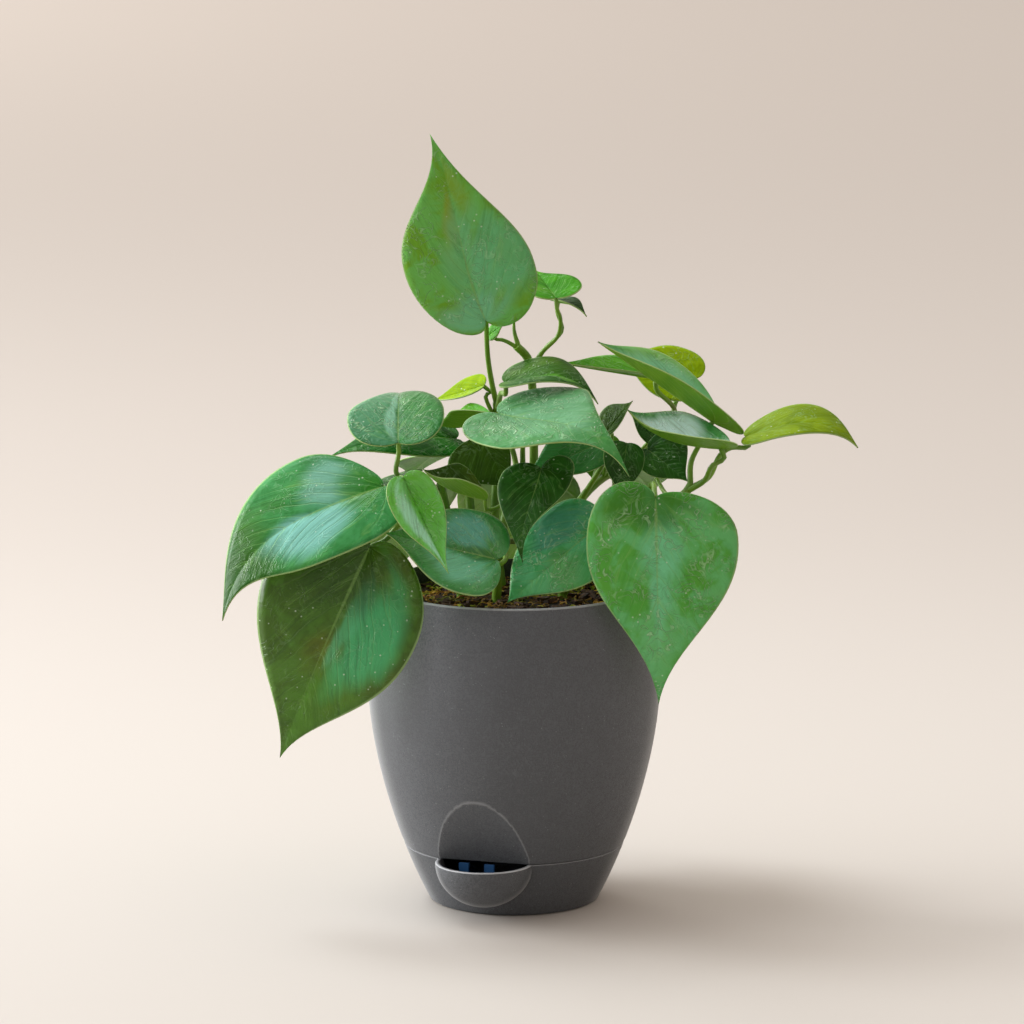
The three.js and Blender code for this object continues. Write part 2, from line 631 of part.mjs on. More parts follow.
/** The blade's middle surface as a function of across (signed, in half widths) and along (in lengths). */
function bladeSurface(leaf) {
  const { curve: midrib, across, length } = midribOf(leaf);
  const [foldLeft, foldRight] = (leaf.fold ?? [0, 0]).map(THREE.MathUtils.degToRad);
  const [curlLeft, curlRight] = leaf.curl ?? [0, 0];
  return (x, y) => {
    const at = THREE.MathUtils.clamp(y, 0, 1);
    const along = midrib.getTangent(at);
    const point = midrib.getPoint(at).addScaledVector(along, (y - at) * length);
    const right = across.clone().addScaledVector(along, -across.dot(along)).normalize();
    const over = right.clone().cross(along);
    const [half, fold, curl] = x < 0
      ? [leaf.half[0], foldLeft, curlLeft]
      : [leaf.half[1], foldRight, curlRight];
    const out = Math.abs(x) * half;
    const rise = out * Math.sin(fold) + curl * half * x * x;
    return point
      .addScaledVector(right, Math.sign(x) * out * Math.cos(fold))
      .addScaledVector(over, rise);
  };
}

/** A heart-shaped blade of even thickness, split into triangles alike on both faces. */
function blade(leaf) {
  const surface = bladeSurface(leaf);
  const shapes = [halfShape(leaf, 0), halfShape(leaf, 1)];
  const corners = [];
  const number = new Map();
  const place = (i, j) => {
    if (i === 0 || i === ROWS) j = 0;
    const key = `${i},${j}`;
    if (!number.has(key)) {
      const s = i / ROWS;
      const rib = s ** RIB_EASE;
      const edge = outlineAt(s, shapes[j < 0 ? 0 : 1]);
      const out = j / COLUMNS;
      const along = THREE.MathUtils.lerp(rib, edge.y, Math.abs(out));
      number.set(key, corners.length);
      corners.push(surface(out * edge.x, along));
    }
    return number.get(key);
  };
  const faces = [];
  const face = (a, b, c) => {
    if (a !== b && b !== c && c !== a) faces.push([a, b, c]);
  };
  for (let i = 0; i < ROWS; i++) {
    for (let j = -COLUMNS; j < COLUMNS; j++) {
      const [a, b, c, d] = [place(i, j), place(i, j + 1), place(i + 1, j + 1), place(i + 1, j)];
      if (j < 0) {
        face(a, b, c);
        face(a, c, d);
      } else {
        face(a, b, d);
        face(b, c, d);
      }
    }
  }
  const middle = new THREE.BufferGeometry();
  middle.setAttribute("position", new THREE.Float32BufferAttribute(corners.flatMap((p) => p.toArray()), 3));
  middle.setIndex(faces.flat());
  middle.computeVertexNormals();
  const normal = new THREE.Vector3();
  const offset = (sign) => corners.flatMap((p, i) => {
    normal.fromBufferAttribute(middle.attributes.normal, i);
    return p.clone().addScaledVector(normal, (sign * BLADE_THICKNESS) / 2).toArray();
  });
  const count = corners.length;
  const triangles = [];
  for (const [a, b, c] of faces) {
    triangles.push(a, b, c);
    triangles.push(a + count, c + count, b + count);
  }
  const wall = (a, b) => {
    triangles.push(a + count, b + count, b);
    triangles.push(a + count, b, a);
  };
  for (let i = 0; i < ROWS; i++) {
    wall(place(i, COLUMNS), place(i + 1, COLUMNS));
    wall(place(i + 1, -COLUMNS), place(i, -COLUMNS));
  }
  const geometry = new THREE.BufferGeometry();
  const positions = [...offset(1), ...offset(-1)];
  geometry.setAttribute("position", new THREE.Float32BufferAttribute(positions, 3));
  geometry.setIndex(triangles);
  geometry.computeVertexNormals();
  return geometry;
}

/** A round rod of a few sides along a smooth curve through points. */
function rod(points, radius, sides, steps) {
  const curve = new THREE.CatmullRomCurve3(points);
  const section = new THREE.Shape(Array.from({ length: sides }, (_, i) => {
    const angle = (2 * Math.PI * i) / sides;
    return new THREE.Vector2(radius * Math.cos(angle), radius * Math.sin(angle));
  }));
  return solid(new THREE.ExtrudeGeometry(section, { extrudePath: curve, steps, bevelEnabled: false }));
}

/** Where a leaf's petiole ends, just under the blade's notch, and a point short of it. */
function petioleEnd(leaf) {
  const { curve, across } = midribOf(leaf);
  const along = curve.getTangent(0);
  const up = across.clone().cross(along).normalize();
  const end = curve.getPoint(0).addScaledVector(up, -BLADE_THICKNESS / 2 - PETIOLE_GAP);
  const before = end.clone().addScaledVector(up, -PETIOLE_RISE).addScaledVector(along, -PETIOLE_SETBACK);
  return [before, end];
}

/** A stem that stands in the soil, with the petioles of its leaves, as one solid. */
function vine({ stands: [x, y], route, leaves, shoots = [] }) {
  const foot = SOIL_EDGE_HEIGHT - HOLE_DEPTH + GAP;
  const top = SOIL_CENTRE_HEIGHT + FOOT_RISE;
  const points = [new THREE.Vector3(x, y, top - FOOT_LAP), ...route.map((p) => new THREE.Vector3(...p))];
  const curve = new THREE.CatmullRomCurve3(points);
  let plant = bar(STEM_RADIUS, foot, top, x, y, STEM_SIDES);
  plant = plant.add(rod(points, STEM_RADIUS, STEM_SIDES, STEM_STEPS));
  for (const leaf of Object.values(leaves)) {
    const via = (leaf.via ?? []).map((p) => new THREE.Vector3(...p));
    const path = [curve.getPointAt(leaf.joins), ...via, ...petioleEnd(leaf)];
    plant = plant.add(rod(path, leaf.petiole ?? PETIOLE_RADIUS, PETIOLE_SIDES, PETIOLE_STEPS));
  }
  for (const shoot of shoots) {
    const path = [curve.getPointAt(shoot.joins), ...shoot.by.map((p) => new THREE.Vector3(...p))];
    plant = plant.add(rod(path, shoot.radius ?? PETIOLE_RADIUS, PETIOLE_SIDES, PETIOLE_STEPS));
  }
  return geometryOf(plant);
}

add("reservoir_saucer", reservoirSaucer(), COLOURS.saucer, 0.6);
add("water_insert", waterInsert(), COLOURS.insert, 0.4);
add("pot_body", potBody(), COLOURS.pot, 0.6);
add("soil", soilFill(VINES), COLOURS.soil, 0.95);
for (const [name, spec] of Object.entries(VINES)) {
  add(name, vine(spec), COLOURS.stem, 0.5);
  for (const [leafName, leaf] of Object.entries(spec.leaves)) {
    add(leafName, blade(leaf), COLOURS[leaf.colour], 0.35);
  }
}

export default group;
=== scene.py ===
"""A potted heartleaf philodendron: leaves, stems, soil and a self-watering pot round its fixed frame.

Millimetres in the values below, metres in the scene. +Z up, front towards -Y.
"""
import bisect
import math
import random

import bmesh
import bpy
from mathutils import Matrix, Vector


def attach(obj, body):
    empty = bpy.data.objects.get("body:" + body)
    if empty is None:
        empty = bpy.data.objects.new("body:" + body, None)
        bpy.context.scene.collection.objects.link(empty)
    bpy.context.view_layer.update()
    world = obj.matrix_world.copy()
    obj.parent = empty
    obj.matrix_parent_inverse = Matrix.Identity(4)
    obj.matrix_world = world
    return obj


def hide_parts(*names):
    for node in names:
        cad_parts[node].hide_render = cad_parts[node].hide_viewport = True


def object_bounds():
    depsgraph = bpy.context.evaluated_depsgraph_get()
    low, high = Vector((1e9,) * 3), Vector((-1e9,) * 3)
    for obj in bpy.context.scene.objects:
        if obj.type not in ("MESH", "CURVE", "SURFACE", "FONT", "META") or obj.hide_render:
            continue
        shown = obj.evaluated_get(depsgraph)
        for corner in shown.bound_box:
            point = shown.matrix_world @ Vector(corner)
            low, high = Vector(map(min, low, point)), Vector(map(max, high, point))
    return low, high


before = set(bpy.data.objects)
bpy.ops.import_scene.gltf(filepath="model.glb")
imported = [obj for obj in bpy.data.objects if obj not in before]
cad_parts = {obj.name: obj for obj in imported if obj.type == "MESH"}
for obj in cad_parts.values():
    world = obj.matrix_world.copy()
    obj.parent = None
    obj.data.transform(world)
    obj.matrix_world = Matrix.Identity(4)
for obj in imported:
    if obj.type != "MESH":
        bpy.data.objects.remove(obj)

bl_info = {
    "name": "Potted Heartleaf Philodendron",
    "version": (1, 0, 0),
    "blender": (4, 5, 0),
    "location": "View3D > Sidebar > Plant",
    "description": "Builds a heartleaf philodendron in a self-watering pot",
    "category": "Add Mesh",
}

MM = 0.001
BOUNDS_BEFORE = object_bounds()

# Pot: the outer side is one cubic curve from the foot to the rim
FOOT_RADIUS = 38.5
RIM_RADIUS = 61.0
POT_HEIGHT = 146.5
SIDE_LOWER_PULL = (50.3, 21.4)
SIDE_UPPER_PULL = (79.7, 91.3)
WALL = 2.4
SEAM_HEIGHT = 26.5
SEAM_GAP = 0.3
EDGE_ROUND = 0.45
RIM_ROUND = 0.8
RECESS_EDGE = 0.3
FLOOR_HEIGHT = 29.5
FLOOR_THICKNESS = 2.4
WELL_RADIUS = 17.0
WELL_FOOT_RADIUS = 14.0
WELL_BOTTOM = 5.0
FILL_AZIMUTH = math.radians(-17.2)
FILL_WAY = Vector((math.sin(FILL_AZIMUTH), -math.cos(FILL_AZIMUTH), 0))
RECESS_DISTANCE = 45.6
RECESS_SLOPE = 0.48
RECESS_SOFTNESS = 0.06
CUP_RADIUS = 22.3
CUP_DEPTH = 20.5
CUP_WALL = 2.0
CUP_SOFTNESS = 0.12
FOOT_ROUND = 1.5
FOOT_EDGE = (0.5, 0.25)
FILL_HALF_ANGLE = math.radians(46)
POT_ROWS = 46
INNER_ROWS = 20
RECESS_ARCS = 72
CUP_ROWS = 54
CUP_ARCS = 180
CORNER_STEPS = 3
SAME_PLACE = 0.01
SAME_POINT = 0.0005

# How strongly painted highlights lighten the pot's edges
RECESS_HIGHLIGHT = 0.3
RIM_HIGHLIGHT = 0.5
SEAM_HIGHLIGHT = 0.45
CUP_HIGHLIGHT = 1.0

# Soil
SOIL_EDGE_HEIGHT = 138.0
SOIL_CENTRE_HEIGHT = 141.0
SOIL_RADIUS = 57.5
HOLE_DEPTH = 26.0
BARK_SIZES = ((3, 8), (2, 5), (1, 2.4))
STRAND_STEP = 0.95
STRAND_SIDES = 4

# Stage: metres and degrees. Each panel has its place, what it points at, its size and its tint
FLOOR_HALF = 14
FAR_FLOOR = (0.87, 0.85, 0.84)
SUN_WAY = (1.0, 0.05, -0.95)
SUN_SPREAD = 42
SUN_TINT = (0.98, 0.98, 1.0)
WARM_AIR = (1.0, 0.88, 0.79, 1)
COOL_AIR = (0.96, 0.96, 0.97, 1)
PANELS = {
    "left_panel": ((-2.3, 0.65, 0.6), (0, 0, 0.15), (1.6, 1.0), (0.97, 0.98, 1.0)),
    "back_panel": ((-2.2, 4.6, 1.8), (-1.2, 4.6, 0), (3.0, 2.0), (1.0, 0.96, 0.92)),
    "top_panel": ((-0.7, 0.6, 1.9), (0, 0, 0.2), (0.8, 0.8), (0.88, 0.95, 1.0)),
}
CAMERA_PLACE = (-0.00095, -2.65, 0.6635)
CAMERA_DOWN = 10.348
CAMERA_LENS = 207.95
CAMERA_SENSOR = 36

# Leaves and stems
BLADE_THICKNESS = 0.8
BLADE_SHELL = 0.6
COLUMN_SPREAD = 1.25
GROOVE_WIDTH = 0.05
PUFF = 0.9
WAVE = 0.5
WAVES = 9
USUAL_HALF = 30
VEIN_SLOPE = 0.5
VEIN_CURVE = 0.34
VEIN_FAN = 2.4
WIDEST = 0.22
NOTCH_PULL = (0.1, -0.3)
LOBE_CORNER = 0.32
FLANK_PULL = (1.04, 0.6)
TIP_PULL = (0.14, 0.72)
SHOULDER_SHARE = 0.42
RIB_EASE = 2.6
STEM_RADIUS = 2.2
PETIOLE_RADIUS = 1.3
PETIOLE_GAP = 0.7
PETIOLE_RISE = 4
PETIOLE_END = 0.45
PETIOLE_SHARE = 0.94
STEM_TAPER = 0.12
SHOOT_TAPER = 0.6
STEM_SIDES = 12
FOOT_GAP = 0.3
RING_SPACING = 2.2
CURVE_SAMPLES = 200

# Each vine has the place where it stands on the soil, its stem's route, its leaves and bare shoots.
# A leaf's petiole joins the stem at a share of its length, has a radius (petiole) and passes the points
# in via. base and tip are the ends of the midrib, face is the way that the upper side looks, and colour
# its kind. These pairs are for the left and the right half: half width, fold in degrees, curl, reach of
# the lobes, where it is widest, how full it is, and tuck, which draws the lobe's corner in.
# bend and sway pull the midrib up and aside at two places, which lean gives as shares of its length.
VINES = {
    "vine_crown": {
        "stands": (-6, 22),
        "route": ((-9, 24, 171), (-7, 28, 208), (-8, 26, 226)),
        "leaves": {
            "leaf_crown": dict(
                joins=0.99, base=(-13, -6, 269), tip=(-38, -2, 353), face=(0, -1, 0.1), half=(28, 30),
                bend=(0.02, 0.06), sway=(-0.05, 0.05), lobes=(0.55, 0.45), fold=(4, 4),
                curl=(-0.06, -0.06), full=(0, -0.08), widest=(0.34, 0.2), tuck=(0.5, 0.1),
                via=((-10, 20, 235), (-12, 10, 250)), colour="deep"),
            "leaf_left_lime": dict(
                joins=0.86, base=(-14, 24, 234), tip=(-38, 40, 224), face=(-0.2, -0.5, 0.85),
                half=(7, 8), fold=(15, 15), petiole=1.1, lobes=(0.2, 0.2), via=((-13, 24, 230),),
                colour="lime"),
            "leaf_mid_left": dict(
                joins=0.8, base=(-11, 5, 224), tip=(-39, 24, 218), face=(0.05, 0.05, 1), half=(10, 13),
                fold=(50, 50), bend=(-0.15, -0.18), petiole=1, lobes=(0.1, 0.1), widest=(0.45, 0.45),
                tuck=(0.5, 0.5), via=((-9, 16, 217),), colour="bright"),
            "leaf_upper_mid": dict(
                joins=0.95, base=(-4, -2, 240), tip=(38, -10, 231), face=(0, -0.05, 1), half=(20, 11),
                fold=(14, -6), bend=(0.16, 0.34), lobes=(0.3, 0.3), via=((-6, 14, 232),), colour="deep"),
        },
    },
    "vine_side": {
        "stands": (9, 24),
        "route": ((9, 28, 180), (9, 28, 217), (8, 24, 237), (6, 18, 248), (1, 14, 254)),
        "shoots": (dict(joins=0.98, by=((0, 14, 261), (0, 15, 267))),),
        "leaves": {
            "leaf_crown_side": dict(
                joins=0.86, base=(19, 2, 278), tip=(10, 46, 284), face=(0, -0.35, 1), half=(13, 14),
                fold=(10, 14), petiole=1.1, lobes=(0.5, 0.5),
                via=((13, 16, 251), (20, 12, 259), (21, 6, 268)), colour="bright"),
            "leaf_crown_young": dict(
                joins=0.84, base=(20, 24, 273), tip=(33, 10, 268), face=(0.3, -0.4, 0.8), half=(5, 5),
                fold=(20, 20), bend=(0.1, 0.2), petiole=1, via=((14, 24, 251), (22, 28, 259)),
                colour="dark"),
            "leaf_young_roll": dict(
                joins=0.98, base=(-11, 9, 260), tip=(-5, 5, 265), face=(0, -0.6, 0.6), half=(4, 4),
                petiole=1, via=((-5, 12, 257),), colour="bright"),
        },
    },
    "vine_left": {
        "stands": (-24, -6),
        "route": ((-34, -8, 177), (-43, -16, 193), (-49, -26, 198)),
        "leaves": {
            "leaf_left_round": dict(
                joins=0.9, base=(-52, -34, 218), tip=(-52, 34, 227), face=(-0.05, -0.25, 1),
                half=(23, 21), fold=(4, 6), bend=(0.12, 0.2), full=(-0.12, -0.03), lobes=(0.3, 0.3),
                via=((-53, -34, 204),), colour="teal"),
            "leaf_left_big": dict(
                joins=0.99, base=(-59, -48, 200), tip=(-131, -44, 138), face=(-0.15, -0.7, 0.7),
                half=(27, 30), bend=(0.13, 0.16), sway=(0.06, 0.22), petiole=1.4, lobes=(0.4, 0.2),
                full=(0.05, 0.05), widest=(0.22, 0.32), tuck=(0, 0.5), via=((-53, -38, 197),),
                colour="teal"),
            "leaf_low_left_big": dict(
                joins=0.8, base=(-65, -42, 171), tip=(-106, -36, 73), face=(-0.1, -0.9, 0.35),
                half=(38, 39), bend=(0.05, 0.1), petiole=1.4, lobes=(0.5, 0.5), widest=(0.28, 0.22),
                full=(0.03, 0), tuck=(0.4, 0), via=((-58, -34, 173),), colour="deep"),
            "leaf_small_folded": dict(
                joins=0.85, base=(-49, -62, 206), tip=(-29, -68, 164), face=(0.1, -0.9, 0.45),
                half=(12, 13), fold=(26, 20), petiole=1.1, lobes=(0.25, 0.3), full=(0, -0.05),
                via=((-46, -50, 199),), colour="deep"),
            "leaf_behind_left": dict(
                joins=0.7, base=(-46, 10, 192), tip=(-74, 6, 185), face=(0, -0.4, 0.9), half=(12, 9),
                petiole=1.1, via=((-41, 6, 188),), colour="dark"),
        },
    },
    "vine_front": {
        "stands": (-8, -14),
        "route": ((-6, -18, 170), (-2, -20, 189), (2, -16, 200)),
        "leaves": {
            "leaf_center": dict(
                joins=0.98, base=(-7, -16, 228), tip=(51, -62, 207), face=(-0.1, -0.4, 0.93),
                half=(30, 27), bend=(0.05, 0.38), lean=(0.32, 0.78), full=(-0.18, -0.12),
                lobes=(0.4, 0.6), widest=(0.3, 0.28), via=((0, -13, 208), (-3, -14, 217)), colour="teal"),
            "leaf_dark_heart": dict(
                joins=0.95, base=(12, -28, 204), tip=(4, -50, 165), face=(-0.1, -1, 0.35), half=(15, 17),
                bend=(0.05, 0.1), sway=(0, 0.13), lobes=(0.8, 0.3), widest=(-0.03, 0.2),
                full=(-0.3, -0.09), via=((6, -18, 203),), colour="dark"),
            "leaf_low_mid_left": dict(
                joins=0.5, base=(-8, -48, 167), tip=(-58, -54, 180), face=(-0.1, -0.75, 0.65),
                half=(23, 21), fold=(6, 6), full=(0.05, 0.05), lobes=(0.3, 0.5), via=((-4, -34, 164),),
                colour="teal"),
            "leaf_low_center": dict(
                joins=0.45, base=(39, -30, 180), tip=(-3, -48, 147), face=(-0.1, -0.75, 0.65),
                half=(20, 22), lobes=(0.4, 0.4), full=(0.05, 0.15), via=((21, -22, 171),), colour="deep"),
            "leaf_centre_olive": dict(
                joins=0.9, base=(-13, -30, 191), tip=(-41, -26, 204), face=(0, -0.2, 1), half=(10, 13),
                bend=(-0.1, -0.15), fold=(60, 45), petiole=1, lobes=(0.3, 0.2), widest=(0.3, 0.55),
                tuck=(0, 0.5), full=(0, 0.15), via=((-3, -24, 189),), colour="olive"),
        },
    },
    "vine_far_left": {
        "stands": (-20, 14),
        "route": ((-20, 18, 177), (-22, 20, 200), (-19, 18, 208)),
        "leaves": {
            "leaf_left_under": dict(
                joins=0.98, base=(-27, 16, 211), tip=(-84, 0, 205), face=(-0.1, -0.45, 0.9),
                half=(16, 17), lobes=(0.3, 0.3), bend=(0.08, 0.14), via=((-24, 18, 208),), colour="dark"),
            "leaf_back_olive": dict(
                joins=0.93, base=(-15, -4, 215), tip=(-1, -10, 191), face=(-0.1, -0.85, 0.5),
                half=(9, 20), petiole=1.1, lobes=(0.3, 0.3), via=((-16, 10, 208),), colour="olive"),
        },
    },
    "vine_right": {
        "stands": (22, -6),
        "route": ((39, -14, 169), (64, -22, 185), (77, -22, 192), (80, -20, 196)),
        "leaves": {
            "leaf_right_heart": dict(
                joins=0.62, base=(63, -56, 196), tip=(65, -50, 101), face=(0.05, -1, 0.18),
                half=(37, 31), curl=(-0.12, -0.12), bend=(0.02, 0.06), petiole=1.5, lobes=(0.25, 0.45),
                full=(-0.04, -0.08), tuck=(0.25, 0), via=((62, -36, 199),), colour="teal"),
            "leaf_upper_right": dict(
                joins=0.99, base=(90, -8, 223), tip=(38, 0, 258), face=(0.5, 0.2, 0.75), half=(12, 22),
                fold=(30, 42), lobes=(1.1, 0.4), widest=(0.22, 0.45), full=(0, 0.12), tuck=(0, 0.5),
                via=((80, -18, 206), (85, -14, 215)), colour="bright"),
            "leaf_right_lime": dict(
                joins=0.97, base=(105, -14, 217), tip=(155, -22, 213), face=(0, -0.22, 0.97),
                half=(23, 15), bend=(0.15, 0.35), full=(0.16, 0.1), lobes=(0.3, 0.2), widest=(0.3, 0.22),
                tuck=(0.2, 0), via=((88, -18, 199), (93, -18, 209), (98, -16, 212)), colour="lime"),
            "leaf_right_glossy": dict(
                joins=0.95, base=(93, -28, 214), tip=(51, -12, 229), face=(0, -0.3, 0.95), half=(10, 19),
                fold=(50, 15), bend=(-0.12, -0.22), lobes=(1, 0.8), widest=(0.22, 0.5), full=(0, 0.15),
                tuck=(0, 0.6), via=((86, -26, 199), (89, -29, 206)), colour="teal"),
            "leaf_right_under": dict(
                joins=0.85, base=(61, 2, 208), tip=(79, -8, 195), face=(0, -0.7, 0.6), half=(16, 10),
                petiole=1.1, via=((66, 0, 193),), colour="dark"),
        },
    },
    "vine_right_back": {
        "stands": (22, 18),
        "route": ((28, 24, 176), (39, 28, 189), (53, 32, 196)),
        "leaves": {
            "leaf_back_lime": dict(
                joins=0.98, base=(82, 44, 234), tip=(47, 50, 244), face=(0, -0.8, 0.6), half=(14, 14),
                via=((71, 42, 210), (75, 44, 224)), colour="lime"),
            "leaf_long_left": dict(
                joins=0.95, base=(65, 28, 237), tip=(19, 16, 246), face=(0, 0.1, 1), half=(7, 12),
                fold=(10, 40), lobes=(0.2, 0.2), via=((74, 32, 220),), colour="bright"),
            "leaf_mid_stripe": dict(
                joins=0.6, base=(41, 2, 212), tip=(4, -12, 198), face=(0, -0.8, 0.6), half=(11, 15),
                lobes=(0.2, 0.2), via=((42, 12, 203),), colour="teal"),
            "leaf_backlit": dict(
                joins=0.7, base=(40, 36, 207), tip=(38, 34, 185), face=(0, 1, 0.3), half=(12, 10),
                via=((41, 32, 205),), colour="bright"),
            "leaf_right_small": dict(
                joins=0.8, base=(42, 14, 214), tip=(54, 6, 230), face=(-0.3, -0.8, 0.5), half=(9, 3),
                petiole=1, lobes=(0.2, 0.2), via=((44, 18, 207),), colour="olive"),
            "leaf_mid_right": dict(
                joins=0.9, base=(51, -6, 212), tip=(48, -20, 189), face=(0.2, -0.9, 0.4), half=(9, 10),
                petiole=1, lobes=(0.2, 0.2), via=((50, 10, 207),), colour="dark"),
            "leaf_dark_right": dict(
                joins=0.99, base=(64, 18, 210), tip=(53, 14, 223), face=(0, -0.8, 0.5), half=(4, 9),
                petiole=1, lobes=(0.3, 0.3), colour="dark"),
        },
    },
    "vine_back_left": {
        "stands": (-28, 24),
        "route": ((-30, 32, 168), (-34, 40, 186)),
        "leaves": {
            "leaf_back_low_left": dict(
                joins=0.7, base=(-46, 50, 178), tip=(-76, 90, 108), face=(-0.5, 0.7, 0.5), half=(28, 28),
                bend=(0.1, 0.12), via=((-38, 44, 176),), colour="deep"),
            "leaf_back_mid_left": dict(
                joins=0.98, base=(-24, 42, 202), tip=(-50, 86, 178), face=(-0.3, 0.3, 1), half=(24, 24),
                bend=(0.08, 0.14), via=((-28, 40, 196),), colour="teal"),
            "leaf_back_far_left": dict(
                joins=0.85, base=(-56, 32, 188), tip=(-104, 64, 156), face=(-0.5, 0.2, 1), half=(26, 26),
                bend=(0.08, 0.14), via=((-44, 36, 188),), colour="deep"),
        },
    },
    "vine_back_middle": {
        "stands": (4, 36),
        "route": ((4, 42, 168), (4, 46, 194)),
        "leaves": {
            "leaf_back_low_middle": dict(
                joins=0.7, base=(2, 62, 184), tip=(4, 108, 118), face=(0, 0.8, 0.55), half=(29, 29),
                bend=(0.1, 0.12), via=((4, 52, 182),), colour="teal"),
            "leaf_back_high": dict(
                joins=0.98, base=(4, 46, 212), tip=(22, 92, 204), face=(0, 0.1, 1), half=(23, 23),
                bend=(0.1, 0.16), via=((4, 44, 204),), colour="deep"),
        },
    },
    "vine_back_right": {
        "stands": (30, 24),
        "route": ((38, 30, 162), (46, 36, 178)),
        "leaves": {
            "leaf_back_low_right": dict(
                joins=0.75, base=(42, 54, 170), tip=(66, 92, 106), face=(0.4, 0.75, 0.5), half=(27, 27),
                bend=(0.1, 0.12), via=((42, 46, 170),), colour="deep"),
            "leaf_back_mid_right": dict(
                joins=0.98, base=(44, 46, 194), tip=(66, 88, 170), face=(0.2, 0.3, 1), half=(22, 22),
                bend=(0.08, 0.14), via=((46, 42, 188),), colour="dark"),
            "leaf_back_far_right": dict(
                joins=0.9, base=(64, 34, 178), tip=(88, 76, 124), face=(0.6, 0.4, 0.7), half=(20, 20),
                bend=(0.08, 0.14), via=((54, 36, 180),), colour="teal"),
        },
    },
}

# Each kind of upper side: its ground, its blotches, a warm tone, dark streaks, roughness and shine
LOOKS = {
    "deep": dict(
        ground="#3a7a24", patch="#468c3c", warm="#668c14", dark="#1c4c0c", rough=0.3, shine=0.2),
    "teal": dict(
        ground="#348238", patch="#46924c", warm="#5a9424", dark="#205c1c", rough=0.28, shine=0.22),
    # These two kinds are partly the blades' own yellow-green and partly a painted glow of light shining
    # through them from behind
    "lime": dict(
        ground="#86a60a", patch="#98b614", warm="#74940c", dark="#5c780a", rough=0.5, shine=0.03),
    "bright": dict(
        ground="#449010", patch="#58a01c", warm="#74a010", dark="#28600a", rough=0.36, shine=0.12),
    "olive": dict(
        ground="#36580a", patch="#446816", warm="#606c10", dark="#1c3806", rough=0.4, shine=0.15),
    "dark": dict(
        ground="#204c0c", patch="#2a601c", warm="#38640e", dark="#0e2a04", rough=0.36, shine=0.2),
}
